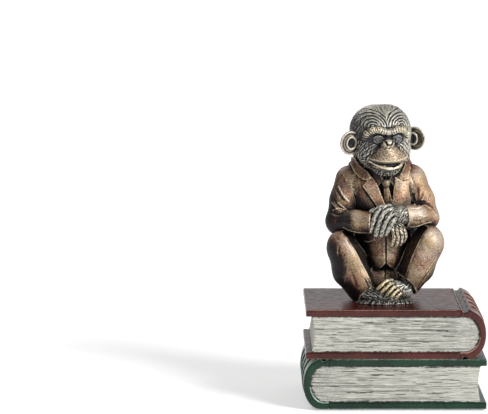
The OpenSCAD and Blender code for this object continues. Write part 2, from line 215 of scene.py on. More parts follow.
class Clay:
    """A solid as signed distances in mm on a grid, negative inside. Grids of one pitch share a lattice."""

    def __init__(self, low, high, pitch):
        self.pitch = pitch
        self.start = np.floor(np.array(low) / pitch).astype(int)
        self.count = np.ceil(np.array(high) / pitch).astype(int) - self.start + 1
        self.field = np.full(self.count, FAR, np.float32)

    def window(self, low, high):
        first = np.clip(np.floor(low / self.pitch).astype(int) - self.start, 0, self.count)
        last = np.clip(np.ceil(high / self.pitch).astype(int) - self.start + 1, 0, self.count)
        return tuple(slice(a, b) for a, b in zip(first, last))

    def axes(self, window=None):
        window = window or tuple(slice(0, n) for n in self.count)
        lines = [(np.arange(w.start, w.stop) + s) * self.pitch for w, s in zip(window, self.start)]
        return np.ix_(*[line.astype(np.float32) for line in lines])

    def distances(self, form):
        """How far every place of the grid is from a form of one part."""
        return form[0][0](*self.axes())

    def work(self, form, soft, combine):
        for distance, low, high in form:
            window = self.window(low - soft - self.pitch, high + soft + self.pitch)
            if all(w.stop > w.start for w in window):
                self.field[window] = combine(self.field[window], distance(*self.axes(window)), soft)
        return self

    def add(self, form, soft=0.0):
        return self.work(form, soft, smooth_min)

    def cut(self, form, soft=0.0):
        return self.work(form, soft, lambda a, b, k: -smooth_min(-a, b, k))

    def carve(self, distances, soft=0.0):
        """Cuts away what has negative distances."""
        self.field = -smooth_min(-self.field, distances, soft)
        return self

    def keep(self, form, soft=0.0):
        """Keeps only what is inside a form of one part."""
        return self.carve(-self.distances(form), soft)

    def copy(self, low=None, high=None):
        """The same clay, or the part of it in a box."""
        new = Clay.__new__(Clay)
        low = self.start * self.pitch if low is None else np.array(low, float)
        high = (self.start + self.count - 1) * self.pitch if high is None else np.array(high, float)
        window = self.window(low, high)
        new.pitch = self.pitch
        new.start = self.start + [w.start for w in window]
        new.field = self.field[window].copy()
        new.count = np.array(new.field.shape)
        return new

    def blank(self):
        """An empty grid like this one."""
        out = self.copy()
        out.field = np.full(self.count, FAR, np.float32)
        return out

    def on_grid_of(self, other):
        """This clay on another grid of the same lattice."""
        out = other.blank()
        shift = self.start - other.start
        first, last = np.maximum(shift, 0), np.minimum(shift + self.count, other.count)
        there = tuple(slice(a, b) for a, b in zip(first, last))
        here = tuple(slice(a, b) for a, b in zip(first - shift, last - shift))
        out.field[there] = self.field[here]
        return out

    def at(self, points):
        """Distances at loose points, between the grid's own."""
        p = np.clip(points / self.pitch - self.start, 0, self.count - 1.001)
        base = p.astype(int)
        total = 0
        for corner, weight in cell_corners((p - base).astype(np.float32)):
            total = total + weight * self.field[tuple((base + corner).T)]
        return total

    def normals_at(self, points):
        step = self.pitch
        g = np.stack([self.at(points + d) - self.at(points - d) for d in np.eye(3) * step], 1)
        return g / np.maximum(np.linalg.norm(g, axis=1, keepdims=True), 1e-9)

    def front(self, places, lift=0.0, behind=False):
        """Puts (x, z) places on the first surface that is met from the front, or from behind."""
        places = np.asarray(places, float)
        y = (np.arange(self.count[1]) + self.start[1]) * self.pitch
        y = y[::-1] if behind else y
        n = len(places)
        lines = np.stack([np.repeat(places[:, 0], len(y)), np.tile(y, n),
                          np.repeat(places[:, 1], len(y))], 1)
        d = self.at(lines).reshape(n, -1)
        hit = np.maximum((d < 0).argmax(1), 1)
        hit = np.where((d < 0).any(1), hit, np.maximum(d.argmin(1), 1))
        row = np.arange(n)
        a, b = d[row, hit - 1], d[row, hit]
        t = unit(a / np.where(np.abs(a - b) < 1e-6, 1, a - b))
        return np.stack([places[:, 0], y[hit - 1] + t * (y[1] - y[0]) - lift, places[:, 1]], 1)

    def skin(self):
        """Surface nets: a vertex in each cell that the surface passes, and a quad for each grid edge
        that it crosses."""
        field, strides = self.field, np.array([self.count[1] * self.count[2], self.count[2], 1])
        cells, spots = [], []
        for axis in range(3):
            low_side = tuple(slice(0, -1) if i == axis else slice(1, -1) for i in range(3))
            high_side = tuple(slice(1, None) if i == axis else slice(1, -1) for i in range(3))
            a, b = field[low_side], field[high_side]
            found = np.argwhere((a < 0) != (b < 0))
            da, db = a[tuple(found.T)], b[tuple(found.T)]
            at = found + np.array([0 if i == axis else 1 for i in range(3)])
            spot = at.astype(float)
            spot[:, axis] += da / (da - db)
            o1, o2 = [np.eye(3, dtype=int)[(axis + n) % 3] for n in (1, 2)]
            ring4 = np.stack([at, at - o1, at - o1 - o2, at - o2], 1)
            ring4[db < 0] = ring4[db < 0][:, ::-1]
            cells.append(ring4 @ strides)
            spots.append(spot)
        quads = np.concatenate(cells)
        spots = np.concatenate(spots)
        _, corner = np.unique(quads.ravel(), return_inverse=True)
        weight = np.bincount(corner)
        sums = [np.bincount(corner, np.repeat(spots[:, i], 4)) for i in range(3)]
        verts = (np.stack(sums, 1) / weight[:, None] + self.start) * self.pitch
        return Skin(verts, corner.reshape(-1, 4), self)


# Skins


def value_noise(points, scale, seed):
    """Smooth noise from -1 to 1, with features about scale across."""
    p = np.asarray(points, float) / scale + 1000.0 + seed * 17.31
    base = np.floor(p).astype(np.int64)
    f = p - base
    f = f * f * (3 - 2 * f)
    total = 0.0
    for corner, weight in cell_corners(f):
        h = (base + corner) @ np.array([374761393, 668265263, 2147483647])
        h = (h + seed * 1274126177) & 0xFFFFFFFF
        h = ((h ^ (h >> 13)) * 1103515245) & 0xFFFFFFFF
        h = (h ^ (h >> 16)) / 0x7FFFFFFF - 1
        total = total + h * weight
    return total


def near_pairs(points, spots, reach):
    """Index pairs (point, spot) that may be within reach of each other: those in touching cells."""
    low = points.min(0) - reach
    size = (np.ceil((points.max(0) - low) / reach) + 2).astype(np.int64)
    strides = np.array([size[1] * size[2], size[2], 1])
    key = ((points - low) / reach).astype(np.int64) @ strides
    order = np.argsort(key, kind="stable")
    key = key[order]
    cell = np.floor((spots - low) / reach).astype(np.int64)
    pairs = []
    for shift in np.ndindex(3, 3, 3):
        there = cell + np.array(shift) - 1
        inside = ((there >= 0) & (there < size)).all(1)
        wanted = there @ strides
        first, last = np.searchsorted(key, wanted, "left"), np.searchsorted(key, wanted, "right")
        n = np.where(inside, last - first, 0)
        spot = np.repeat(np.arange(len(spots)), n)
        offset = np.arange(n.sum()) - np.repeat(np.cumsum(n) - n, n)
        pairs.append((order[np.repeat(first, n) + offset], spot))
    return tuple(np.concatenate(c) for c in zip(*pairs))


class Skin:
    """A mesh of quads in mm, with the clay that it was taken from."""

    def __init__(self, verts, quads, clay=None):
        self.v, self.q, self.clay = verts, quads, clay
        pairs = np.concatenate([quads[:, [i, (i + 1) % 4]] for i in range(4)])
        pairs = np.unique(np.sort(pairs, 1), axis=0)
        self.a = np.concatenate([pairs[:, 0], pairs[:, 1]])
        self.b = np.concatenate([pairs[:, 1], pairs[:, 0]])
        self.degree = np.maximum(np.bincount(self.a, minlength=len(verts)), 1)
        self.paint = {}
        self.hold = 1.0                        # how much painted shade the deep places keep

    def spread(self, values, times=1, amount=1.0):
        """Values, each moved towards the mean of its neighbours."""
        values = np.asarray(values, float)
        for _ in range(times):
            if values.ndim == 1:
                mean = np.bincount(self.a, values[self.b], len(values)) / self.degree
            else:
                mean = np.stack([np.bincount(self.a, c[self.b], len(c)) for c in values.T], 1)
                mean = mean / self.degree[:, None]
            values = values + (mean - values) * amount
        return values

    def normals(self):
        p = self.v[self.q]
        n = np.cross(p[:, 2] - p[:, 0], p[:, 3] - p[:, 1])
        total = np.zeros_like(self.v)
        for i in range(3):
            total[:, i] = sum(np.bincount(self.q[:, c], n[:, i], len(self.v)) for c in range(4))
        return total / np.maximum(np.linalg.norm(total, axis=1, keepdims=True), 1e-9)

    def settle(self, times=2):
        """Evens out the quads and puts them back on the clay's surface."""
        for _ in range(times):
            self.v = self.spread(self.v, 1, 0.5)
            self.v = self.v - self.clay.normals_at(self.v) * self.clay.at(self.v)[:, None]
        return self

    def push(self, heights):
        self.v = self.v + self.normals() * heights[:, None]
        return self

    def press(self, lines, width, depth, lip=0.6, taper=True, reach=3.0):
        """Presses lines into the skin, or raises them where depth is negative. Each line is an array of
        points close to the skin; width and depth are one number, or one for each line. Clay that is
        pressed away stands up in a lip."""
        lines = [np.asarray(line, float) for line in lines]
        width = np.broadcast_to(np.asarray(width, float), (len(lines),))
        depth = np.broadcast_to(np.asarray(depth, float), (len(lines),))
        start = np.concatenate([line[:-1] for line in lines])
        end = np.concatenate([line[1:] for line in lines])
        owner = np.repeat(np.arange(len(lines)), [len(line) - 1 for line in lines])
        t0 = np.concatenate([np.arange(len(line) - 1) / (len(line) - 1) for line in lines])
        dt = 1 / np.array([len(lines[i]) - 1 for i in owner])
        radius = np.linalg.norm(end - start, axis=1).max() / 2 + width.max() * 2.2
        vert, seg = near_pairs(self.v, (start + end) / 2, radius)
        p, a, ab = self.v[vert], start[seg], (end - start)[seg]
        u = unit(((p - a) * ab).sum(1) / np.maximum((ab * ab).sum(1), 1e-9))
        off = p - a - ab * u[:, None]
        rise = (off * self.normals()[vert]).sum(1)
        gap = np.sqrt(np.maximum((off * off).sum(1) - rise * rise, 0)) / width[owner[seg]]
        keep = (gap < 2.2) & (np.abs(rise) < reach)
        vert, seg, gap, u = vert[keep], seg[keep], gap[keep], u[keep]
        order = np.lexsort((gap, vert * len(lines) + owner[seg]))
        vert, seg, gap, u = vert[order], seg[order], gap[order], u[order]
        group = vert * len(lines) + owner[seg]
        first = np.concatenate([[True], group[1:] != group[:-1]]) if len(group) else np.zeros(0, bool)
        vert, seg, gap, u = vert[first], seg[first], gap[first], u[first]
        t = t0[seg] + dt[seg] * u
        fade = np.sqrt(unit(4 * t * (1 - t))) if taper else np.ones(len(t))
        height = -depth[owner[seg]] * fade * (1 - lip * gap ** 2) * np.exp(-gap ** 2)
        total = np.bincount(vert, height, len(self.v))
        limit = max(np.abs(depth).max() * 1.6, 1e-6)
        return self.push(np.tanh(total / limit) * limit)

    def comb(self, rng, where, count, flow, length, width, depth, wander=0.25, steps=5, lip=0.6):
        """Strokes of hair: they start at random places, by the weights in where, and follow the flow."""
        chance = np.maximum(where, 0)
        seeds = rng.choice(len(self.v), count, p=chance / chance.sum())
        p = self.v[seeds].copy()
        bend = rng.normal(0, wander, (count, 1))
        span = length * rng.uniform(0.6, 1.3, (count, 1)) / steps
        lines = [p]
        for _ in range(steps):
            n = self.clay.normals_at(p)
            d = flow(p)
            d = d + np.cross(n, d) * bend
            d = d - n * (d * n).sum(1, keepdims=True)
            d = d / np.maximum(np.linalg.norm(d, axis=1, keepdims=True), 1e-9)
            p = p + d * span
            p = p - self.clay.normals_at(p) * self.clay.at(p)[:, None]
            lines.append(p)
        lines = list(np.stack(lines, 1))
        return self.press(lines, width * rng.uniform(0.7, 1.3, count),
                          depth * rng.uniform(0.5, 1.4, count), lip)

    def weather(self, times=14, full=0.35):
        """The rubbed layer and the wash: how far each place stands proud of the skin round it, or lies
        below.
        """
        smooth = self.spread(self.v, times, 0.6)
        proud = ((self.v - smooth) * self.normals()).sum(1) / full
        self.paint["wear_and_light"] = unit(proud)
        self.paint["wash"] = unit(-proud)
        return self


def fill(solid, clay, unplace):
    """Marks with one the places of a solid that are inside a clay."""
    full = np.stack(np.broadcast_arrays(*solid.axes()), -1).reshape(-1, 3)
    spots = unplace(full) if unplace else full
    low = clay.start * clay.pitch
    high = low + (clay.count - 1) * clay.pitch
    inside = ((spots > low) & (spots < high)).all(1)
    filled = np.zeros(len(full), bool)
    filled[inside] = clay.at(spots[inside]) < 0
    solid.field = np.maximum(solid.field, filled.reshape(solid.count))


def blurred(solid, spread):
    """The solid blurred, to a deviation in mm."""
    out = solid.copy()
    for _ in range(int(2 * (spread / solid.pitch) ** 2)):
        for axis in range(3):
            field = out.field
            lower = np.concatenate([np.take(field, [0], axis), np.delete(field, -1, axis)], axis)
            upper = np.concatenate([np.delete(field, 0, axis), np.take(field, [-1], axis)], axis)
            out.field = (2 * field + lower + upper) / 4
    return out


# Pieces


def matrix_place(matrix, origin):
    """A function from a local frame to the figure's, and one back."""
    def place(points):
        return points @ matrix.T + origin

    def unplace(points):
        return (points - origin) @ matrix

    return place, unplace


def put(name, verts, faces, material, nodes, paint):
    """Makes one object from mm in the object's frame. Faces are an array of quads."""
    mesh = bpy.data.meshes.new(name)
    verts = np.asarray(verts, np.float32) * MM
    faces = np.asarray(faces, np.int32)
    mesh.vertices.add(len(verts))
    mesh.vertices.foreach_set("co", verts.ravel())
    mesh.loops.add(faces.size)
    mesh.loops.foreach_set("vertex_index", faces.ravel())
    mesh.polygons.add(len(faces))
    mesh.polygons.foreach_set("loop_start", np.arange(0, faces.size, faces.shape[1], dtype=np.int32))
    mesh.update(calc_edges=True)
    mesh.validate()
    mesh.shade_smooth()
    for key, values in paint.items():
        layer = mesh.attributes.new(key, "FLOAT", "POINT")
        layer.data.foreach_set("value", np.asarray(values, np.float32))
    mesh.materials.append(material)
    piece = bpy.data.objects.new(name, mesh)
    bpy.context.scene.collection.objects.link(piece)
    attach(piece, "root")
    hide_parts(*nodes)


# The figure's clay

FINE = 0.32                                    # pitch of the head, hands and feet, mm
CLOTH = 0.42                                   # pitch of the clothes, mm


def pair(form):
    """A form and its mirror image."""
    return form + mirrored(form)


def cloth():
    """An empty grid for the suit."""
    return Clay([-37, -27, 0], [37, 31, 84], CLOTH)


RIGHT_ARM = [([-19, 3.6, 68.5], [8, 8.6, 8]), ([-21.6, 1, 57], [8.4, 8.8, 9]),
             ([-24.6, -2.5, 45.4], [7.8, 7.8, 7.8]), ([-16, -13, 46.6], [6.2, 6.4, 6.4]),
             ([-7, -17, 46.4], [5.4, 5.4, 6.2])]
LEFT_ARM = [([16.6, 3.6, 69], [8, 8.6, 8]), ([21, 1, 57], [8.4, 8.8, 9]),
            ([24.2, -2.8, 47.6], [7.8, 7.8, 7]), ([18, -12.5, 50], [6.2, 6.4, 6.4]),
            ([10, -17, 50], [5.4, 5.6, 6.4])]
RIGHT_LEG = [([-11, 4, 13], [9, 11, 10.5]), ([-23.2, -10.5, 31.4], [8.7, 9.4, 9.6]),
             ([-20, -11.5, 18], [8.6, 8.8, 9]), ([-14.2, -11.5, 8], [6.8, 7, 7.6])]
LEFT_LEG = [([11, 4, 13], [9, 11, 10.5]), ([25.4, -10.5, 34], [8.8, 9.4, 10]),
            ([20.6, -11.5, 20.5], [8.4, 8.8, 9]), ([13.8, -11.5, 9.5], [6.6, 7, 6.8])]
RIGHT_SHIN = [([-22.6, -13, 34], [7.5, 7, 7]), ([-18.6, -14.5, 25], [7.5, 6.6, 8]),
              ([-13.4, -14.8, 14], [7.2, 6, 7]), ([-11.5, -14, 9], [6, 5.4, 5])]
LEFT_SHIN = [([24, -13, 36], [7.5, 7, 7.4]), ([20.8, -14.5, 27], [7.5, 6.6, 8]),
             ([17.3, -14.8, 18], [7, 6, 7]), ([14.5, -14, 11], [5.6, 5.4, 5])]
RIGHT_CREASE = [[-23.6, -15, 41], [-20.5, -17, 38], [-16.9, -18.6, 32.5], [-13.7, -19.3, 26.6],
                [-10.5, -19.5, 20.2], [-7.3, -18.8, 14.3], [-6.6, -18, 8]]
LEFT_CREASE = [[24.6, -15, 43.5], [21.8, -17, 40.3], [18.7, -18.6, 34.3], [15.6, -19.3, 27.5],
               [13.4, -19.4, 21.1], [12.1, -18.4, 16], [11.5, -17, 8]]


def flank(crease, side, slope=0.5):
    """What is behind a trouser crease: its face runs back and, by slope, towards the middle."""
    knots = np.array(crease, float)[::-1]
    n = np.array([side, -slope]) / math.hypot(1, slope)

    def distance(x, y, z):
        xc = np.interp(z, knots[:, 2], knots[:, 0])
        yc = np.interp(z, knots[:, 2], knots[:, 1])
        return (x - xc) * n[0] + (y - yc) * n[1]

    return [(distance, -EVERYWHERE, EVERYWHERE)]


def share(whole, mine, theirs, soft=0.25):
    """The part of a whole that is nearer to one of the two forms that it was blended from."""
    return whole.copy().carve((theirs.field - mine.field) / 2, soft)


def blend(a, b, soft):
    out = a.copy()
    out.field = smooth_min(a.field, b.field, soft)
    return out


def torso_clay():
    clay = cloth()
    clay.add(limb(([0, 11, 17], [19.5, 17, 12]), ([0, 8.5, 32], [21, 16.5, 13]),
                  ([0.4, 6, 48], [20.4, 14.5, 12]), ([0, 4.5, 62], [18, 11.5, 11])))
    clay.add(limb(([-13, 4.5, 66], [9.5, 9.5, 8.6]), ([13, 4.5, 66.5], [9.5, 9.5, 8.6])), 3)
    clay.add(ball([-1, 5, 71], [13, 11, 8]), 4)
    clay.add(limb(([-8.6, -0.4, 62], [9.4, 9.4, 13]), ([8.6, -0.4, 62], [9.4, 9.4, 13])), 5)
    clay.add(limb(([-5, -2.4, 55], [8, 9.2, 8]), ([6, -2.4, 55], [8, 9.2, 8])), 5)
    return clay


def seat_clay():
    clay = cloth().add(limb(([-9, 9, 12], [13, 17, 12]), ([9, 9, 12], [13, 17, 12])))
    return clay.cut(half_space([0, 0, 1.6], [0, 0, 1]))


def skirt_clay():
    """The jacket's skirt, which lies over the seat."""
    clay = cloth().add(limb(([-9, 9, 12], [14.3, 18.3, 13.3]), ([9, 9, 12], [14.3, 18.3, 13.3])))
    clay.cut(half_space([0, 26, 11], [0, -0.35, 1]), 0.4)
    return clay.keep(half_space([0, -2, 20], [0, -1, 0.25]), 0.4)


def leg_clay(leg, shin, crease, side, hem_at, hem_radii):
    clay = cloth().add(limb(*leg), 2).add(limb(*shin), 3)
    clay.keep(flank(crease, side), 0.7)
    clay.cut(ball(hem_at, hem_radii), 0.5)
    return clay.cut(half_space([0, 0, 0.8], [0, 0, 1]), 0.3)


def clothes():
    """The clays of the suit: blended where the cloth runs on, sharp where one piece crosses another."""
    torso, seat = torso_clay(), seat_clay()
    arms = {"right": cloth().add(limb(*RIGHT_ARM), 2), "left": cloth().add(limb(*LEFT_ARM), 2)}
    legs = {"right": leg_clay(RIGHT_LEG, RIGHT_SHIN, RIGHT_CREASE, 1, [-3.6, -17, 0], [10.4, 15, 10]),
            "left": leg_clay(LEFT_LEG, LEFT_SHIN, LEFT_CREASE, -1, [8, -17, 4], [10.8, 15, 12])}
    height = torso.axes()[2]
    shoulder_soft = 0.8 + 5 * unit((height - 60) / 8)
    jacket, sleeves = blend(torso, skirt_clay(), 3), {}
    for side, arm in arms.items():
        whole = blend(torso, arm, shoulder_soft)
        sleeves[side] = share(whole, arm, torso)
        jacket = blend(jacket, share(whole, torso, arm), 0)
    opening = np.maximum(jacket.distances(outline(FRONT_OPENING)), jacket.axes()[1] - 1)
    jacket.carve(np.maximum(opening, -(torso.field + 2.6)), 0.3)
    trousers = {}
    for side, leg in legs.items():
        whole = blend(seat, leg, 3)
        trousers[side] = share(whole, leg, seat)
        seat = blend(seat, share(whole, seat, leg), 0)
    sleeves["left"].cut(half_space([12.9, -17, 50], [1, 0.25, 0.05]), 0.4)
    sleeves["left"].cut(limb(([10, -17, 50.2], [5, 4.8, 5.4]), ([16, -14, 50.2], [3, 3, 4])), 0.4)
    sleeves["right"].cut(half_space([-7, -17, 46.5], [-1, 0.25, 0]), 0.4)
    return jacket, sleeves, seat, trousers


FRONT_OPENING = [[-7, 74], [-4.4, 68], [-0.9, 60], [0.9, 54], [-1, 46], [-16, 40], [-16, -4], [16, -4],
                 [16, 40], [6, 46], [5.2, 54], [5.2, 60], [6.6, 70], [7.6, 74]]


def waistcoat_clay():
    clay = Clay([-16, -18, 14], [18, 12, 68], CLOTH)
    clay.add(limb(([1, -1, 58], [7.5, 9.6, 9]), ([1, -1.5, 42], [12, 11, 12]),
                  ([1, -2.5, 26], [11, 10, 10])))
    hem = outline([[-14, 60], [-14, 24], [-9, 20.6], [-5.6, 18.6], [-1.6, 19.4], [1.5, 23.4], [4.2, 20],
                   [7.6, 18.6], [12, 22], [15, 30], [15, 66], [-10, 66]], 0.3)
    return clay.keep(hem, 0.5)


def lapel_clay(chest, points):
    """A flat shell on the chest, cut to the lapel's outline."""
    low, high = np.min(points, 0), np.max(points, 0)
    clay = chest.copy([low[0] - 3, -22, low[1] - 3], [high[0] + 3, 4, high[1] + 3])
    core = clay.copy()
    clay.field = clay.field - 1.4
    clay.keep(outline(points, 0.3), 0.4)
    return clay.carve(core.field + 1.5, 0.2)


RIGHT_LAPEL = [[-9, 69.5], [-11.7, 66.6], [-7.2, 60.6], [-2.4, 53.6], [-0.4, 51.5], [1.2, 54.5],
               [-1, 60.4], [-4.4, 68.4], [-6.6, 71.4]]
LEFT_LAPEL = [[6.9, 71.2], [5.9, 64.8], [4.9, 57], [5.2, 53], [9, 52], [14, 54.5], [15, 60], [14.3, 65],
              [13.7, 69], [10.6, 69.4]]
WINGS = [[[15.6, 83], [15.8, 76], [14, 70.3], [10.4, 69.8], [8, 72], [8, 83]],
         [[-20.5, 82], [-16.9, 74.5], [-14.1, 71.2], [-12, 70.2], [-8.9, 69.6], [-5, 73], [-12, 83]]]
NECK_OPENING = [[-19, 86], [-13.6, 78], [-9, 74.6], [-7, 71.8], [0, 60], [8.8, 71.6], [12.2, 78],
                [13.4, 86]]


def collar_clay(base, neck):
    """A turned-down collar: a shell on the shoulders and round the neck, open in front."""
    clay = base.copy([-24, -14, 62], [22, 24, 84])
    core = blend(clay, neck.on_grid_of(clay), 5)
    clay.field = core.field - 1.5
    x, y, _ = clay.axes()
    oval = (np.sqrt(((x + 1.3) / 18.2) ** 2 + ((y - 4.5) / 13.2) ** 2) - 1) * 13
    wings = np.minimum(*[clay.distances(outline(wing)) for wing in WINGS])
    region = np.minimum(oval, np.where(y < 0, wings, FAR))
    clay.carve(-region, 0.5)
    clay.cut(half_space([-1, 4, 81.6], [0, -0.08, -1]), 0.5)
    clay.cut(half_space([0, 14, 71.5], [0, -0.7, 1]), 0.5)
    clay.carve(np.maximum(clay.distances(outline(NECK_OPENING)), y), 0.5)
    return clay.carve(core.field + 1.2, 0.2)


def chest_clay(soft):
    """The chest with the upper arms, blended by soft."""
    clay = torso_clay()
    for arm in (RIGHT_ARM, LEFT_ARM):
        clay.add(limb(*arm[:2]), soft)
    return clay


def neck_clay():
    clay = Clay([-24, -20, 60], [22, 22, 98], CLOTH)
    return clay.add(limb(([-1.6, 2, 86], [17, 12.8, 10.5]), ([-0.6, 2, 74], [12, 10.5, 8])))


def tie_clay():
    clay = Clay([-6, -19, 50], [10, -4, 74], FINE)
    blade = clay.copy().add(limb(([1.6, -10.6, 66], [3.6, 2.0, 3]), ([3.4, -11.6, 54], [4.4, 2.4, 4])))
    blade.keep(outline([[0.2, 67], [2.4, 67], [5.3, 56], [5.2, 52], [0.8, 52], [0.4, 58]], 0.2), 0.4)
    knot = clay.add(ball([1.2, -10.6, 68.3], [2.9, 3.2, 2.8]))
    knot.keep(outline([[-1.3, 70.2], [3.6, 70.2], [2.8, 66.4], [-0.2, 66.4]], 0.2), 0.5)
    return blend(blade, knot, 0.2)


def shirt_clay():
    """The two points of the shirt's collar, either side of the knot."""
    clay = Clay([-12, -18, 60], [12, 2, 80], FINE)
    clay.add(limb(([0, 2, 80], [13, 12.6, 9]), ([0.6, 1, 66], [10, 11.6, 9])))
    core = clay.field + 1.2
    left = clay.distances(outline([[3.6, 69.9], [5.5, 67.2], [7.6, 70.6], [10.4, 77], [6, 76]], 0.3))
    right = clay.distances(outline([[-0.4, 69.9], [-3.4, 66.6], [-7.4, 71.4], [-12, 77], [-4, 76]], 0.3))
    clay.carve(-np.minimum(left, right), 0.3).carve(core, 0.2)
    return clay.cut(half_space([0, -4, 0], [0, -1, 0]), 0.2)


def button_clay(waistcoat):
    clay = Clay([-2, -18, 22], [8, -6, 40], FINE)
    for spot in waistcoat.front([[2.9, 34.2], [2.9, 27.4]], -0.1):
        clay.add(ball(spot, [1.0, 0.6, 1.0]))
    return clay


def plinth_clay():
    """The rough base under the figure, heaped up in front of the feet."""
    clay = Clay([-23, -27, -1], [23, 31, 6], CLOTH)
    clay.add(limb(([0, -5, -1.4], [20.4, 17.2, 3.6]), ([0, 11, -1.4], [19.8, 16.4, 3.2])))
    clay.add(ball([1.0, -14.6, -0.6], [17.5, 8.4, 4.0]), 1.5)
    return clay.cut(half_space([0, 0, 0.02], [0, 0, 1]), 0.05)


def outward_flow(p):
    return np.stack([p[:, 0] + 0.4 * p[:, 1], p[:, 1] - 3, 0 * p[:, 0]], 1)


# The head, in its own frame: origin in the middle of the skull, face towards -Y

HEAD_TURN, HEAD_BOW = math.radians(12), math.radians(6)
EYES_MIDDLE = np.array([0, -14.2, -0.8])       # where the CAD eyes' middle is in the head's frame
turn_cos, turn_sin = math.cos(HEAD_TURN), math.sin(HEAD_TURN)
bow_cos, bow_sin = math.cos(HEAD_BOW), math.sin(HEAD_BOW)
HEAD_AXES = (np.array([[turn_cos, -turn_sin, 0], [turn_sin, turn_cos, 0], [0, 0, 1]])
             @ np.array([[1, 0, 0], [0, bow_cos, -bow_sin], [0, bow_sin, bow_cos]]))
eyes_low, eyes_high = corner_boxes("eyes")
HEAD_AT = (eyes_low + eyes_high) / 2 - FIGURE_AT - HEAD_AXES @ EYES_MIDDLE
place_head, unplace_head = matrix_place(HEAD_AXES, HEAD_AT)

BROW = [[-12, -8.4, 1.0], [-11.4, -10.0, 3.7], [-8.6, -12.1, 5.9], [-5.4, -13.2, 6.4], [-2.8, -13.4, 5.4],
        [-0.3, -13.2, 4.9]]
MOUTH = [[-10.6, -11.3], [-8.1, -12.4], [-5.7, -12.8], [-3.2, -12.9], [-1.6, -12.9], [0.6, -12.1],
         [2.9, -11.9], [5.7, -12.2], [8.4, -11.8], [10.8, -10.4]]
GAPE = [[-0.4, -13.2], [1.6, -13.35], [3.6, -13.2], [5.8, -12.8]]
LOWER_LIP = [[-9.8, -12.2], [-6.9, -13.5], [-3.4, -14.7], [0, -15.3], [3.4, -15.2], [6.7, -14.1],
             [10.4, -11.1]]
NOSTRILS = [[[-2.6, 0.5], [-2.2, -0.4], [-1.4, -1.3]], [[1.5, 0.3], [0.9, -0.6], [0.2, -1.3]]]
JAW = ball([0.6, -9.2, -14.4], [9.4, 9.0, 3.9])
WHORL = (8.4, 8.6)                             # x and z of the hair's whorl over the left eye
ARC_PITCH = 1.55
BROW_TOP = ([-1, 1, 3, 5.4, 8.6, 11.4, 12.6], [6.8, 7.2, 7.8, 8.6, 8.0, 6.0, 2.6])
FACE_FOLDS = [[[-4.4, -0.9], [-6.9, -2.4], [-9.6, -3.9], [-11.4, -5.4]],
              [[3.6, -1.2], [6.2, -2.4], [9, -4.0], [11, -6]],
              [[-3.2, 0.2], [-5.6, -1.3], [-8.6, -1.9], [-11, -2.6]],
              [[3, 0.2], [5.6, -1.2], [8.2, -1.8], [10.4, -2.8]],
              [[-2.6, -17.0], [1, -18.2], [5, -17.4]], [[-4, -18.6], [1, -20.2], [6, -19]],
              [[-2.2, 3.2], [0, 2.6], [2, 3.2]], [[-9.4, 0.4], [-7.6, 3.2], [-5.2, 4.2], [-3, 3.4]],
              [[9.2, 0.6], [7.6, 3.2], [5.2, 4.2], [3, 3.4]]]


# The muzzle is narrow under the nose and wide at the mouth
MUZZLE = limb(([-0.4, -13, -2.4], [4.2, 5.4, 3.0]), ([0.4, -9.2, -8.9], [11.8, 11.2, 5.7]))
NOSE = ball([-0.6, -17.1, -0.5], [3.3, 2.7, 1.9])


def head_clay():
    clay = Clay([-24, -25, -25], [24, 23, 19], FINE)
    clay.add(limb(([-4, 3, 2], [14, 16.2, 15.4]), ([4, 3, 2], [13.4, 16.2, 15.4])))
    clay.add(ball([0, 1, -7], [15, 14, 11]), 4)
    clay.add(pair(ball([7, -5.5, -8], [8.6, 8, 8.4])), 3)
    clay.cut(pair(ball([5.6, -15.8, 1.0], [4.8, 4.2, 3.4])), 2)
    clay.add(pair(limb(*[(p, 1.8) for p in BROW])), 1.2)
    clay.add(MUZZLE, 1.0)
    clay.add(JAW, 1.0)
    clay.add(ball([0.9, -8.6, -17.2], [8, 7.2, 4.2]), 1.5)
    clay.add(NOSE, 0.8)
    return clay


def eye_clay():
    clay = Clay([-10, -19, -5], [10, -8, 6], FINE / 2)
    return clay.add(pair(ball([5.5, -11.6, 1.1], [2.5, 2.5, 2.5])))


def lids():
    upper = [[-8.4, -11.4, 0.8], [-7.1, -13.1, 2.2], [-5.5, -13.9, 2.7], [-3.9, -13.5, 2.2],
             [-2.7, -12.7, 1.1]]
    lower = [[-8.4, -11.6, 0.6], [-7.2, -13.0, -0.4], [-5.4, -13.7, -0.9], [-3.6, -13.3, -0.3],
             [-2.7, -12.7, 0.9]]
    return pair(strand(curve(upper, 1), 0.5) + strand(curve(lower, 1), 0.42))


def carve_face(clay):
    """Adds the lids and the lower lip, and cuts the nostrils and the mouth; returns their lines."""
    clay.add(lids(), 0.5)
    nostrils = [clay.front(curve(line, 0.4), -0.3) for line in NOSTRILS]
    for line in nostrils:
        clay.cut(limb(*[(p, [0.46, 1.4, 0.46]) for p in line]), 0.15)
    mouth = clay.front(curve(MOUTH), -0.1)
    lip = clay.front(curve(LOWER_LIP), -0.2)
    thick = np.interp(np.linspace(0, 1, len(lip[::3])), [0, 0.5, 1], [0.35, 0.8, 0.35])
    clay.add(limb(*zip(lip[::3], thick)), 0.4)
    clay.cut(limb(*[(p, 0.2) for p in mouth[::3]]), 0.25)
    gape = clay.front(curve(GAPE))
    open_by = np.interp(np.linspace(0, 1, len(gape[::2])), [0, 0.4, 0.7, 1], [0.4, 1.15, 1.1, 0.35])
    clay.cut(limb(*[(p, [0.7, 1.6, z]) for p, z in zip(gape[::2], open_by)]), 0.3)
    return nostrils, lip, gape


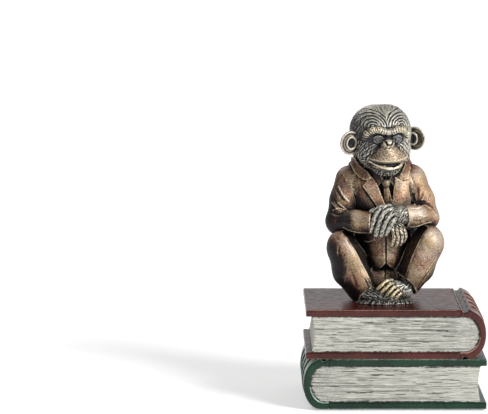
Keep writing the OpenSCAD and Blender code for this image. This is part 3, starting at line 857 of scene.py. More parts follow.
def forehead_arcs(clay, rng):
    """Rings of combed hair round the whorl over each eye."""
    arcs = []
    for side in (-1, 1):
        for radius in np.arange(1.7, 13.2, ARC_PITCH):
            turns = np.radians(np.arange(-25, 205, 9) + rng.uniform(-12, 12))
            x = side * (WHORL[0] + radius * np.cos(turns))
            spots = np.stack([x, WHORL[1] - 1 + radius * np.sin(turns) * 0.9], 1)
            on_skull = (np.abs(spots[:, 0]) < 16) & (spots[:, 1] < 16.4) & (spots[:, 0] * side > -0.6)
            spots = spots[on_skull]
            spots = spots[spots[:, 1] > np.interp(np.abs(spots[:, 0]), *BROW_TOP)]
            if len(spots) > 5:
                arcs.append(clay.front(spots + rng.normal(0, 0.06, spots.shape)))
    return arcs


def brow_ticks(clay, rng):
    """Short hairs across both brows."""
    ticks = []
    for side in (-1, 1):
        spine = curve([[p[0], p[2]] for p in BROW], 0.95) * [-side, 1]
        for at, after in zip(spine, spine[1:]):
            step = after - at
            across = np.array([-step[1], step[0]]) / np.linalg.norm(step) * -side
            lean = rng.normal(0, 0.25, 2)
            ticks.append(clay.front([at + across * 2.3 + lean, at + lean * 0.4, at - across * 1.5 - lean]))
    return ticks


def head_skin(clay):
    """The head's surface with its wrinkles, hair and mouth."""
    rng = np.random.default_rng(11)
    marks = carve_face(clay)
    skin = clay.skin().settle(2)
    y, z = skin.v[:, 1], skin.v[:, 2]
    fur = 1 - unit((1.5 - form_at(MUZZLE, skin.v)) / 1.0) * (y < -5)
    fur = fur * (1 - unit((1.3 - form_at(JAW, skin.v)) / 0.9) * (z > -15.8))
    face = np.exp(-((np.abs(skin.v[:, 0]) - 5.4) / 4.4) ** 2 - ((z - 0.8) / 3.2) ** 2) * (y < -8)
    hair = fur * (1 - unit(1.6 * face))
    skin.press(forehead_arcs(clay, rng), 0.40, 0.52)
    skin.comb(rng, hair * (skin.v[:, 1] > -8), 3600, skull_flow, 5.0, 0.25, 0.22)
    skin.comb(rng, hair * (skin.v[:, 1] <= -8) * (skin.v[:, 2] > 6), 1000, skull_flow, 3.2, 0.2, 0.13)
    skin.comb(rng, hair * (skin.v[:, 2] < 0) * (skin.v[:, 1] < 4), 900, cheek_flow, 4.0, 0.33, 0.42)
    skin.press(brow_ticks(clay, rng), 0.28, 0.7)
    skin.press([clay.front(curve(fold)) for fold in FACE_FOLDS], 0.36, 0.36, 1.0)
    pores = skin.v[rng.choice(len(skin.v), 700, p=(1 - fur) / (1 - fur).sum())]
    skin.press([np.stack([p, p + rng.normal(0, 0.25, 3)]) for p in pores], 0.24, 0.14, 0.2, False)
    skin.weather(12, 0.22)
    paint_head(skin, fur, face, *marks)
    return skin


def paint_head(skin, fur, face, nostrils, lip, gape):
    """Gold on the brow, tan on the muzzle, darker round the eyes and towards the chin, and painted shade in
    the mouth and nostrils and on the side away from the light.
    """
    x, y, z = skin.v.T
    brow = sum(near_line(skin.v, curve(BROW, 0.8) * [side, 1, 1], 2.3) for side in (1, -1))
    brow = unit(brow)
    nose = unit(1.6 - form_at(NOSE, skin.v) / 0.5) * (z > -3)
    # Painted shade: the nostrils are painted dark
    holes = sum(near_line(skin.v * [1, 0.3, 1], line * [1, 0.3, 1], 0.85) for line in nostrils)
    holes = unit(holes * 1.6) * (y < -14)
    # Painted shade: the mouth's opening is painted dark
    gap = unit(1.5 * near_line(skin.v * [0.6, 0.3, 1], gape * [0.6, 0.3, 1], 1.2))
    lip_line = near_line(skin.v, lip, 0.9) * (1 - gap)
    # Darker towards the bottom and towards -X
    darker_below = unit((-z - 1 - 0.45 * x) / 9) * fur
    # Painted shade: the fur on the -X side, away from the light, is painted darker and less rubbed
    side = unit((-x - 8) / 9) * fur
    plain = (1 - brow) * (1 - nose)
    skin.paint["gold"] = brow * (1 - 0.75 * np.exp(-(x / 2.8) ** 2))
    skin.paint["tan"] = np.maximum(1 - fur, 0.6 * nose)
    wear_and_light = unit(skin.paint["wear_and_light"] + lip_line * 0.8 + 0.5 * nose) * (1 - holes) * (1 - gap)
    skin.paint["wear_and_light"] = wear_and_light * (1 - 0.35 * side) * (1 - 0.6 * unit(face * 1.3) * plain)
    dark_paint_and_shade = unit(face * 1.5) * fur * plain
    shade = (1 - fur) * (0.14 + 0.35 * unit((-1 - x) / 9))
    skin.paint["dark_paint_and_shade"] = unit(dark_paint_and_shade + shade + 0.75 * darker_below + 0.6 * side + 1.2 * holes + 0.9 * gap)


def skull_flow(p):
    """Hair turns round a whorl over each eye, then runs back over the crown and down the sides."""
    side = np.where(p[:, 0] > 0, 1.0, -1.0)
    dx, dz = p[:, 0] - side * WHORL[0], p[:, 2] - WHORL[1]
    around = np.stack([dz * side, 0 * dx, -dx * side], 1)
    around = around / np.maximum(np.linalg.norm(around, axis=1, keepdims=True), 1e-6)
    back = np.stack([p[:, 0] * 0.03, np.ones(len(p)), -0.5 - 0.06 * np.abs(p[:, 0])], 1)
    front = unit((-4 - p[:, 1]) / 4)[:, None] * unit((p[:, 2] + 1) / 4)[:, None]
    return around * front + back * (1 - front)


def cheek_flow(p):
    return np.stack([p[:, 0] * 0.05, 0.25 * np.ones(len(p)), -np.ones(len(p))], 1)


def form_at(form, points):
    """Distances of a form at loose points."""
    return np.min([d(points[:, 0], points[:, 1], points[:, 2]) for d, _, _ in form], 0)


def near_line(points, line, width):
    """One on a line, falling to zero at a width from it."""
    gap = np.full(len(points), FAR)
    for spot in np.asarray(line):
        gap = np.minimum(gap, np.linalg.norm(points - spot, axis=1))
    return unit(1.5 * (1 - gap / width))


EAR_TURN = {"right": 14, "left": -34}
EAR_AT = {"right": [-19.6, -4.2, -2.8], "left": [20.2, 2.4, -2.5]}
BOWL_IN = {"right": 0.8, "left": -1.6}         # how far each ear's bowl lies towards the head, mm


def ear_clay(side):
    """A round ear: a rolled rim, a second ring inside it, and a deep bowl."""
    at, turn = np.array(EAR_AT[side], float), EAR_TURN[side]
    out = -1 if side == "right" else 1
    clay = Clay(at - [9, 9, 9], at + [9, 9, 9], FINE)
    clay.add(ball(at + [0, 0.7, 0], [6.2, 1.9, 6.8], turn))
    clay.add(ring(at, [5.5, 6.1], 0.7, turn), 0.4)
    clay.cut(ball(at + [-0.4 * out, -1.9, 0], [4.5, 2.1, 5.0], turn), 0.3)
    clay.add(ring(at + [BOWL_IN[side], -0.2, -0.1], [2.9, 3.4], 0.5, turn), 0.3)
    clay.cut(ball(at + [1.1 * BOWL_IN[side], -0.9, -0.1], [2.2, 2.1, 2.7], turn), 0.3)
    return clay


def ear_skin(side):
    """Combed behind, with painted shade in the bowl and on its back, and rubbed along the inner ring."""
    ear = ear_clay(side).skin().settle(2)
    middle = np.array(EAR_AT[side]) + [0, 0.8, 0]
    behind = unit(ear.normals()[:, 1] * 2)
    ear.comb(np.random.default_rng(15), behind + 0.001, 260, along([0, 0, -1]), 2.2, 0.25, 0.2)
    ear.weather(12, 0.26)
    inside = unit(1.35 - np.linalg.norm((ear.v - middle) / [6.0, 8, 6.6], axis=1) * 1.15)
    off = (ear.v - middle - [BOWL_IN[side], 0, -0.1]) / [2.9, 9, 3.4]
    inner_ring = np.exp(-((np.linalg.norm(off, axis=1) - 1) / 0.2) ** 2) * (1 - behind)
    bowl = np.clip(1.3 * inside, 0, 0.42) * (1 - behind) * (1 - inner_ring)
    ear.paint["tan"] = np.full(len(ear.v), 0.5)
    # Painted shade in the bowl and on the back of the ear
    ear.paint["dark_paint_and_shade"] = bowl + 0.25 * behind
    ear.paint["wear_and_light"] = np.maximum(ear.paint["wear_and_light"], 0.6 * inner_ring)
    ear.hold = 0.65
    return ear


# Hands and feet

UPPER_FINGERS = [[[2.5, -17.6, 55.2], [-2.8, -20.3, 54.4], [-5.8, -21.4, 49.1], [-7.6, -20.6, 42]],
                 [[4.2, -18.6, 54.6], [-0.4, -21.4, 52.6], [-3.5, -22.4, 45.9], [-4.9, -21.6, 40]],
                 [[5.6, -19.2, 52.8], [1.9, -22.2, 50.2], [-0.4, -22.8, 45], [-1.9, -22, 40]],
                 [[7, -19.2, 50.4], [4.8, -22, 48.2], [2.4, -22.4, 44.2], [0.9, -21.6, 40.6]]]
UPPER_THUMB = [[3, -17.4, 56], [-1.8, -19.2, 55.6], [-4.8, -19.6, 54.2], [-7.6, -19, 53.2]]
LOWER_FINGERS = [[[4.6, -17.4, 47], [4.6, -19.4, 43.4], [5.8, -19.6, 38.8], [4.6, -18.6, 34]],
                 [[7, -17, 46.4], [7.0, -19, 42.6], [8.0, -19.4, 38], [7.1, -18.2, 33.4]],
                 [[8.9, -16.6, 46], [9.3, -18.2, 42.6], [10.4, -18.4, 38.6], [9.5, -17.4, 34.2]],
                 [[10.4, -16, 45.4], [11.4, -16.8, 41.8], [12.3, -16.8, 38.6], [11.4, -16, 35.6]]]
TOES = [[[4.6, -17.6, 13.4], [1.6, -20.6, 13.6], [-1.2, -22, 11.6], [-3.8, -21.4, 9.3]],
        [[6.4, -18, 11.6], [3.4, -21.4, 12], [0.8, -22.8, 9.8], [-1.6, -22.2, 7.4]],
        [[8, -18, 9.8], [5.6, -21.6, 10.2], [3.2, -23, 8], [1.2, -22.4, 5.7]],
        [[9.4, -17.6, 8], [7.5, -21.2, 8.4], [5.2, -22.6, 6.2], [3.3, -22, 4.3]],
        [[10.4, -17, 6.2], [9.2, -20.2, 6.4], [7.2, -21.4, 4.6], [5.8, -20.8, 3.1]]]


def hand_clay(low, high, palm, digits, thick, soft):
    clay = Clay(low, high, FINE).add(palm)
    for digit in digits:
        p = curve(digit, 2.0)
        radii = np.interp(np.linspace(0, 1, len(p)), [0, 0.35, 0.55, 0.8, 1],
                          [1.1, 1.08, 0.94, 1.0, 0.8]) * thick
        finger = Clay(low, high, FINE).add(limb(*[(q, r) for q, r in zip(p, radii)]), 0.3)
        clay = blend(clay, finger, soft)
    return clay


def left_hand_clay():
    palm = limb(([13.5, -16, 50.6], [4, 4, 4.8]), ([8.5, -17.6, 51.4], [4.2, 3.9, 5]),
                ([4.4, -17.8, 52], [3.6, 3.6, 3.8]))
    return hand_clay([-12, -27, 34], [17, -8, 62], palm, UPPER_FINGERS + [UPPER_THUMB], 1.42, 0.2)


def right_hand_clay():
    palm = limb(([-8, -16, 46.6], [4.2, 4.4, 4.6]), ([2, -16.4, 46.6], [4.4, 3.6, 4.4]),
                ([8, -16, 45.4], [3.8, 2.8, 3.4]))
    return hand_clay([-13, -24, 28], [17, -8, 55], palm, LOWER_FINGERS, 1.15, 0.2)


def left_foot_clay():
    body = limb(([14, -12.5, 11.5], [4.6, 5, 5.4]), ([12, -14.6, 7.6], [5, 4.6, 5.2]),
                ([6.6, -16.6, 8.2], [5.2, 4.2, 5.2]))
    clay = hand_clay([-9, -27, 0], [21, -5, 21], body, TOES, 1.0, 0.2)
    return clay.cut(half_space([0, 0, 0.9], [0, 0, 1]), 0.3)


def right_foot_clay():
    body = limb(([-13, -12, 7], [5, 5, 5.4]), ([-6, -15, 4.6], [5.4, 4.8, 4]),
                ([3, -17.6, 3.6], [6, 4.2, 3.2]))
    clay = hand_clay([-20, -27, 0], [15, -5, 15], body, [], 1.1, 0.5)
    return clay.cut(half_space([0, 0, 0.9], [0, 0, 1]), 0.3)


def along(way):
    """A flow that runs the same way everywhere."""
    return lambda p: np.tile(np.array(way, float), (len(p), 1))


def furry(clay, seed, count, flow, length, digits):
    """Combs a piece all over, less on its finger or toe tips, which are rubbed golden."""
    skin = clay.skin().settle(2)
    rng = np.random.default_rng(seed)
    tips = np.zeros(len(skin.v))
    for digit in digits:
        p = curve(digit, 0.8)
        tips = np.maximum(tips, near_line(skin.v, p[len(p) // 3:], 1.9))
    skin.comb(rng, 1 - 0.75 * tips, count, flow, length, 0.3, 0.3)
    skin.weather(12, 0.22)
    skin.paint["wear_and_light"] *= 0.75
    skin.paint["gold"] = tips * 0.9
    return skin


# The books, in a frame whose origin is at the middle of the book's height and whose spine is towards +X

# Distances in from the back of the spine, in mm: where board and spine meet, and the hinge groove's middle
HINGE_IN, GROOVE_IN = 14.4, 11.6
GROOVE_DEPTH = 1.2
CRESTS = (-1.9, 2.5)                           # the rubbed crests, from the groove's middle
SPINE_REACH = 9.6                              # how far the spine's curve bulges past its ends
INNER_BACK = 2.4                               # how much further in the curve starts inside the cover
BAND_SPAN = 0.15, 0.85                         # where a band starts and ends along the cover's profile
CORD_OFF, CORD_HALF = 0.75, 0.42               # each band is two cords: their places and half widths
BAND_PITCH = 15.4
PAGE_HOLLOW = 1.4
PAGE_LINES, LONG_LINES = 104, 46


def rounded_box(low, high, stops, radius):
    """A box with rounded edges as a lattice: stops are its counts of rows along x, y and z."""
    low, high = np.array(low, float), np.array(high, float)
    lines = []
    for a, b, n in zip(low, high, stops):
        ends = np.array([0, 0.12, 0.35, 0.65, 1.0]) * radius
        inner = np.linspace(a + radius, b - radius, max(2, n))[1:-1]
        lines.append(np.concatenate([a + ends, inner, b - ends[::-1]]))
    verts, quads, base = [], [], 0
    for axis in range(3):
        u, v = (axis + 1) % 3, (axis + 2) % 3
        for side in (0, -1):
            gu, gv = np.meshgrid(lines[u], lines[v], indexing="ij")
            p = np.zeros(gu.shape + (3,))
            p[..., axis], p[..., u], p[..., v] = lines[axis][side], gu, gv
            index = base + np.arange(gu.size).reshape(gu.shape)
            q = np.stack([index[:-1, :-1], index[1:, :-1], index[1:, 1:], index[:-1, 1:]], -1)
            quads.append(q.reshape(-1, 4)[:, ::1 if side == -1 else -1])
            verts.append(p.reshape(-1, 3))
            base += gu.size
    verts, quads = np.concatenate(verts), np.concatenate(quads)
    keys = np.round(verts * 1000).astype(np.int64)
    _, first, back = np.unique(keys, axis=0, return_index=True, return_inverse=True)
    skin = Skin(verts[first], back.ravel()[quads])
    core = np.clip(skin.v, low + radius, high - radius)
    off = skin.v - core
    length = np.linalg.norm(off, axis=1, keepdims=True)
    skin.paint["edge"] = unit((length[:, 0] / radius - 1) / 0.41)
    skin.v = core + off / np.maximum(length, 1e-9) * np.minimum(length, radius)
    return skin


def extent(corners, way):
    """How far a box reaches towards +X, with way +1, or towards -X, with way -1."""
    return max(corners[0][0] * way, corners[1][0] * way)


def on_line(line, row):
    """Places on a line of points, by row number and fraction."""
    return np.stack([np.interp(row, np.arange(len(line)), line[:, i]) for i in (0, 1)], 1)


def join_skins(skins):
    base = np.cumsum([0] + [len(s.v) for s in skins[:-1]])
    quads = np.concatenate([s.q + b for s, b in zip(skins, base)])
    out = Skin(np.concatenate([s.v for s in skins]), quads)
    for key in skins[0].paint:
        out.paint[key] = np.concatenate([s.paint[key] for s in skins])
    return out


class Book:
    """One closed book, lying flat."""

    def __init__(self, prefix, side, wall, seed, paint):
        """Side is +1 where the spine is towards the object's +X, and wall is the spine's thickness."""
        board, top, spine, pages = [corner_boxes(prefix + part)
                                    for part in ("_bottom_board", "_top_board", "_spine", "_pages")]
        self.prefix, self.side, self.seed, self.paint = prefix, side, seed, paint
        self.thick = board[1][2] - board[0][2]
        self.middle = (board[0][2] + top[1][2]) / 2
        self.half = (top[1][2] - board[0][2]) / 2
        self.far, self.fore = extent(spine, side), extent(board, -side)
        self.page_fore = extent(pages, -side)
        self.ends, self.page_ends = board[1][1], pages[1][1]
        self.hinge, self.groove_at = self.far - HINGE_IN, self.far - GROOVE_IN
        self.curve_at = self.far - SPINE_REACH - INNER_BACK
        self.hollow_reach = self.far - wall - self.curve_at
        self.outer = self.profile(self.far - SPINE_REACH, SPINE_REACH, self.half)
        self.inner = self.profile(self.curve_at, self.hollow_reach, self.half - self.thick)

    def profile(self, start, bulge, half):
        """The cover's profile round the spine in x and z: flat from the hinge, an arc, and flat again."""
        turns = np.radians(np.linspace(90, -90, 49))
        steps = np.linspace(0, 1, 14)[:, None]
        arc = np.stack([start + bulge * np.cos(turns), half * np.sin(turns)], 1)
        return np.concatenate([[self.hinge, half] + steps[:-1] * [start - self.hinge, 0], arc,
                               [start, -half] + steps[1:] * [self.hinge - start, 0]])

    def put(self, word, part, skin, paint=None):
        slot, material = paint or self.paint
        node = self.prefix + part
        verts = skin.v * [self.side, 1, 1] + [0, 0, self.middle]
        put(word + "_" + node, verts, skin.q[:, ::self.side], material, [node], skin.paint)

    def groove(self, x):
        """How far the cover dips beside the hinge: a groove, then a low ridge."""
        off = x - self.groove_at
        return GROOVE_DEPTH * np.exp(-(off / 1.5) ** 4) - 0.45 * np.exp(-((off - 2.7) / 0.9) ** 2)

    def colour_groove(self, skin, x, outside):
        """Dark in the hinge groove, and rubbed on the crests beside it."""
        off = x - self.groove_at
        skin.paint["wash"] = outside * np.exp(-(off / 1.25) ** 4) * 0.8
        crests = sum(np.exp(-((off - crest) / 0.4) ** 2) for crest in CRESTS)
        inland = np.abs(skin.v[:, 1]) < self.ends - 0.7
        skin.paint["edge"] = unit(skin.paint["edge"] + 0.6 * outside * inland * crests)

    def board(self, part, sign):
        """The upper cover board, with sign +1, or the lower one, with sign -1."""
        z0, z1 = sorted((sign * self.half, sign * (self.half - self.thick)))
        skin = rounded_box([-self.fore, -self.ends, z0], [self.hinge, self.ends, z1], (110, 90, 8), 0.75)

        def outer_side():
            return sign * skin.v[:, 2] > self.half - self.thick / 2

        hinged = outer_side() * float(self.side > 0 or sign > 0)
        skin.v[:, 2] -= sign * self.groove(skin.v[:, 0]) * hinged
        skin.paint["edge"] *= outer_side() * unit((self.hinge - 1.5 - skin.v[:, 0]) / 0.6)
        self.colour_groove(skin, skin.v[:, 0], hinged)
        dents = 0.10 * value_noise(skin.v, 14, self.seed) + 0.05 * value_noise(skin.v, 4, self.seed + 1)
        skin.v += skin.normals() * (dents * (0.4 + skin.paint["edge"] * 1.5))[:, None]
        self.put("scuffed", part, skin)

    def spine(self):
        """A lattice of one by one, bent to fill the cover between its outer and its inner profile."""
        skin = rounded_box([0, -self.ends, -1], [1, self.ends, 1], (74, 90, 8), 0.04)
        across = (skin.v[:, 2] + 1) / 2
        row = unit(skin.v[:, 0]) * (len(self.outer) - 1)
        outer, inner = on_line(self.outer, row), on_line(self.inner, row)
        hinged = (np.abs(outer[:, 1]) > self.half * 0.8) * ((self.side > 0) | (outer[:, 1] > 0))
        outer[:, 1] -= self.groove(outer[:, 0]) * np.sign(outer[:, 1]) * hinged
        mix = inner + (outer - inner) * across[:, None]
        at_end = np.abs(skin.v[:, 1]) > self.ends - 0.5
        end_round = 0.7 * (1 - np.sqrt(unit(1 - (np.abs(across - 0.5) * 2) ** 4))) * at_end
        y = skin.v[:, 1] - np.sign(skin.v[:, 1]) * end_round
        rim = np.abs(np.abs(skin.v[:, 1]) - self.ends) < 0.9
        # Painted highlight along the lower inner edge of the spine's curve; the outer rim is rubbed
        lower_inside = (across < 0.5) * (outer[:, 1] < -0.15 * self.half)
        skin.paint["edge"] = rim * np.maximum(unit(1.5 - 7 * across) * lower_inside,
                                              np.clip(6 * across - 5.2, 0, 0.65))
        self.colour_groove(skin, outer[:, 0], (across > 0.5) * hinged)
        skin.v = np.stack([mix[:, 0], y, mix[:, 1]], 1)
        self.put("curved", "_spine", skin)

    def band(self, centre):
        """One raised cord that runs round the spine."""
        start, end = BAND_SPAN
        band = rounded_box([start, centre - CORD_HALF, -1], [end, centre + CORD_HALF, 1], (70, 8, 4), 0.03)
        row = band.v[:, 0] * (len(self.outer) - 1)
        ahead = on_line(self.outer, row + 0.5) - on_line(self.outer, row - 0.5)
        out = np.stack([-ahead[:, 1], ahead[:, 0]], 1)
        out = out / np.linalg.norm(out, axis=1, keepdims=True)
        arch = np.sqrt(unit(1 - ((band.v[:, 1] - centre) / 0.52) ** 2))
        ramp = unit(np.minimum(band.v[:, 0] - start, end - band.v[:, 0]) / 0.04)
        rise = np.where(band.v[:, 2] > 0, 0.6 * arch * ramp - 0.05, -0.5)
        p = on_line(self.outer, row) + out * rise[:, None]
        band.v = np.stack([p[:, 0], band.v[:, 1], p[:, 1]], 1)
        band.paint["edge"] = unit((rise - 0.25) / 0.2)
        return band

    def page_carve(self, run, z):
        """How deep the lines between the pages are: long soft ones, then short sharp ones."""
        rng = np.random.default_rng(self.seed)
        carve = np.zeros(len(z))
        for i in range(PAGE_LINES):
            long = i < LONG_LINES
            level, start = rng.uniform(-0.97, 0.97) * (self.half - self.thick), rng.uniform(-60, 34)
            length = rng.uniform(24, 90) if long else rng.uniform(2.5, 9)
            strength = rng.uniform(0.1, 0.42) if long else rng.uniform(0.3, 1.0)
            width, phase = rng.uniform(0.10, 0.15), rng.uniform(0, 6)
            window = unit((run - start) / 1.2) * unit((start + length - run) / 1.2)
            wave = 0.07 * np.sin(run / 11 + phase) + 0.02 * np.sin(run / 2.3 + phase)
            carve = np.maximum(carve, strength * window * np.exp(-((z - level - wave) / width) ** 4))
        return carve

    def pages(self, material):
        """The page block: hollow at its fore-edge, curved under the spine, lines cut into three sides."""
        half, ends, seed = self.half - self.thick, self.page_ends, self.seed
        skin = rounded_box([0, -ends, -half], [1, ends, half], (110, 56, 150), 0.02)
        u, y, z = skin.v[:, 0].copy(), skin.v[:, 1], skin.v[:, 2].copy()
        t = np.clip(z / half, -1, 1)
        end_x = self.curve_at + self.hollow_reach * np.sqrt(unit(1 - t * t))
        fore = -self.page_fore + PAGE_HOLLOW * (1 - t * t)
        x = fore + (end_x - fore) * u
        fore_edge = u < 0.01
        carve = self.page_carve(np.where(fore_edge, y, x), z)
        near_spine = unit((x - 22) / 22)
        speckle = unit(value_noise(skin.v * [1, 1, 1.6], 0.7, seed + 4) - 0.25) * 0.5
        carve = carve * (1 - 0.6 * near_spine) + speckle * near_spine
        carve = unit(carve + 0.05 * value_noise(skin.v * [0.1, 0.1, 1], 0.35, seed + 5))
        side = unit((np.abs(y) - ends + 0.6) / 0.5)
        skin.v = np.stack([x + carve * fore_edge * 0.8, y - np.sign(y) * carve * side, z], 1)
        # Painted shadow along the seams under the boards and beside the spine; the cut lines between the
        # pages are painted dark too
        seam = np.maximum(1 - (half - np.abs(z)) / 1.0, 1 - (end_x - x) / (0.8 + 0.9 * near_spine))
        seam = unit(seam + 0.5 * value_noise(skin.v, 0.9, seed + 6) - 0.1)
        skin.paint["wash"] = unit(carve * 1.9 + seam)
        skin.paint["spine"] = near_spine
        self.put("cut", "_pages", skin, ("page_edges", material))

    def build(self, page_material):
        self.board("_top_board", 1)
        self.board("_bottom_board", -1)
        self.spine()
        centres = [(i - 1.5) * BAND_PITCH + off for i in range(4) for off in (-CORD_OFF, CORD_OFF)]
        self.put("raised", "_spine_bands", join_skins([self.band(centre) for centre in centres]))
        self.pages(page_material)


# Materials

# The cloth's and the fur's wash colours also darken the painted shade; old and pale gold colour the cloth's
# painted highlight
COPPER, BRONZE, PLUM = (0.29, 0.145, 0.080), (0.29, 0.205, 0.115), (0.24, 0.145, 0.135)
GROUND, SCUFF, CLOTH_WASH_AND_SHADE = (0.040, 0.018, 0.013), (0.030, 0.018, 0.014), (0.009, 0.006, 0.007)
OLD_GOLD, PALE_GOLD, RUBBED_AND_LIT_GOLD = (0.60, 0.46, 0.28), (0.60, 0.51, 0.43), (0.84, 0.70, 0.50)
DARK_PEWTER, PEWTER, FUR_PITS = (0.30, 0.285, 0.245), (0.47, 0.445, 0.375), (0.05, 0.045, 0.05)
DARK_TAN, TAN, FUR_WASH_AND_SHADE = (0.20, 0.125, 0.080), (0.56, 0.45, 0.31), (0.009, 0.009, 0.013)
BROW_GOLD, RUBBED_BROW = (0.70, 0.52, 0.25), (0.92, 0.74, 0.42)
RUBBED_FUR, RUBBED_TAN = (0.60, 0.575, 0.49), (0.70, 0.60, 0.45)


class Paint:
    """Builds a node material a line at a time."""

    def __init__(self, name):
        self.material = bpy.data.materials.new(name)
        self.material.use_nodes = True
        self.nodes, self.links = self.material.node_tree.nodes, self.material.node_tree.links
        self.shader = self.nodes["Principled BSDF"]
        self.place = self.nodes.new("ShaderNodeTexCoord").outputs["Object"]

    def set(self, node, name, value):
        if isinstance(value, bpy.types.NodeSocket):
            self.links.new(value, node.inputs[name])
        else:
            node.inputs[name].default_value = value

    def noise(self, size, detail=4.0, rough=0.6, stretch=(1, 1, 1)):
        """Noise whose features are about size mm across."""
        mapping = self.nodes.new("ShaderNodeMapping")
        mapping.inputs["Scale"].default_value = stretch
        self.links.new(self.place, mapping.inputs["Vector"])
        node = self.nodes.new("ShaderNodeTexNoise")
        self.links.new(mapping.outputs["Vector"], node.inputs["Vector"])
        node.inputs["Scale"].default_value = 1 / (size * MM)
        node.inputs["Detail"].default_value = detail
        node.inputs["Roughness"].default_value = rough
        return node.outputs["Fac"]

    def value(self, name):
        node = self.nodes.new("ShaderNodeAttribute")
        node.attribute_name = name
        return node.outputs["Fac"]

    def math(self, operation, a, b, clamp=False):
        node = self.nodes.new("ShaderNodeMath")
        node.operation, node.use_clamp = operation, clamp
        for i, v in enumerate((a, b)):
            self.set(node, i, v)
        return node.outputs[0]

    def add(self, a, b, clamp=False):
        return self.math("ADD", a, b, clamp)

    def times(self, a, b):
        return self.math("MULTIPLY", a, b)

    def wash(self, strength):
        """The dark wash in the skin's hollows, together with the painted shade of the deep places and the
        layer of dark paint and painted shade.
        """
        wash = self.add(self.times(self.value("wash"), strength), self.value("deep"), True)
        return self.add(wash, self.times(self.value("dark_paint_and_shade"), 0.9), True)

    def ramp(self, factor, low, high, start=0.0, end=1.0):
        """Maps low..high of a factor to start..end."""
        node = self.nodes.new("ShaderNodeMapRange")
        node.interpolation_type = "SMOOTHSTEP"
        for name, v in (("Value", factor), ("From Min", low), ("From Max", high), ("To Min", start),
                        ("To Max", end)):
            self.set(node, name, v)
        return node.outputs["Result"]

    def mix(self, factor, a, b):
        node = self.nodes.new("ShaderNodeMix")
        node.data_type = "RGBA"
        self.set(node, 0, factor)
        for i, v in ((6, a), (7, b)):
            self.set(node, i, (*v, 1) if isinstance(v, tuple) else v)
        return node.outputs[2]

    def finish(self, colour, roughness, metal, height=None, bump=0.1, **fixed):
        self.set(self.shader, "Base Color", colour)
        self.set(self.shader, "Roughness", roughness)
        self.set(self.shader, "Metallic", metal)
        for name, v in fixed.items():
            self.set(self.shader, name.replace("_", " "), v)
        if height is not None:
            node = self.nodes.new("ShaderNodeBump")
            node.inputs["Strength"].default_value = 1.0
            node.inputs["Distance"].default_value = bump * MM
            self.links.new(height, node.inputs["Height"])
            self.links.new(node.outputs["Normal"], self.shader.inputs["Normal"])
        return self.material


def bronze_cloth():
    """Copper and bronze, brushed on over a black ground, rubbed to pale gold on the folds, with painted
    highlights in gold where it faces the painted light and painted shade under the dark wash.
    """
    p = Paint("bronze_cloth")
    grit, hue, high = p.noise(0.8, 6, 0.8), p.noise(14, 3), p.value("high")
    metal = p.mix(p.ramp(hue, 0.42, 0.58), COPPER, BRONZE)
    metal = p.mix(p.ramp(p.noise(10, 3), 0.54, 0.64, 0, 0.7), metal, PLUM)
    brushed = p.add(p.times(p.noise(3.5, 4, 0.6), 0.35), p.times(grit, 0.85))
    # More metal shows through where the painted light falls
    brushed = p.add(brushed, p.times(high, 0.22))
    colour = p.mix(p.ramp(brushed, 0.50, 0.76), GROUND, metal)
    # The gold of the painted highlight
    gold = p.mix(p.ramp(p.noise(16, 2), 0.42, 0.54), OLD_GOLD, PALE_GOLD)
    painted_highlight = p.add(p.times(high, 0.62), p.times(grit, 1.7))
    colour = p.mix(p.ramp(painted_highlight, 1.00, 1.62, 0, 0.9), colour, gold)
    scuff = p.times(p.ramp(p.noise(0.5, 5, 0.85), 0.51, 0.60, 0, 0.75), p.ramp(high, 0.0, 1.0, 1.0, 0.6))
    colour = p.mix(scuff, colour, SCUFF)
    # The dark wash with the painted shade
    wash = p.add(p.wash(1.1), p.ramp(grit, 0.34, 0.66, 0.12, -0.12), True)
    colour = p.mix(p.ramp(wash, 0.05, 0.62, 0, 0.98), colour, CLOTH_WASH_AND_SHADE)
    # Rubbed paint, with the painted light of the pale parts
    wear_and_light = p.times(p.value("wear_and_light"), p.ramp(grit, 0.36, 0.58, 0.25, 1.0))
    colour = p.mix(p.ramp(wear_and_light, 0.12, 0.75, 0, 0.9), colour, RUBBED_AND_LIT_GOLD)
    return p.finish(colour, p.ramp(grit, 0.3, 0.7, 0.40, 0.60), 0.35, grit, 0.11, Specular_IOR_Level=0.26)


def bronze_fur():
    """Pewter hair over black, with a golden brow and a tan face, darkened by the wash and by painted shade.
    """
    p = Paint("bronze_fur")
    speckle = p.noise(0.7, 5, 0.75)
    colour = p.mix(p.ramp(p.noise(5, 3), 0.35, 0.65), DARK_PEWTER, PEWTER)
    colour = p.mix(p.ramp(speckle, 0.5, 0.72, 0, 0.6), colour, FUR_PITS)
    tan = p.mix(p.ramp(p.noise(1.0, 5, 0.8), 0.36, 0.62), DARK_TAN, TAN)
    colour = p.mix(p.value("tan"), colour, tan)
    colour = p.mix(p.value("gold"), colour, BROW_GOLD)
    # The dark wash with the painted shade
    colour = p.mix(p.ramp(p.wash(1.2), 0.05, 0.66, 0, 0.98), colour, FUR_WASH_AND_SHADE)
    wear_and_light = p.times(p.value("wear_and_light"), p.ramp(speckle, 0.25, 0.6, 0.5, 1.0))
    bright = p.mix(p.value("gold"), RUBBED_FUR, RUBBED_BROW)
    bright = p.mix(p.value("tan"), bright, RUBBED_TAN)
    colour = p.mix(p.ramp(wear_and_light, 0.08, 0.8, 0, 0.9), colour, bright)
    rough = p.ramp(speckle, 0.3, 0.7, 0.34, 0.55)
    return p.finish(colour, rough, 0.4, p.noise(0.4, 4, 0.7), 0.05)


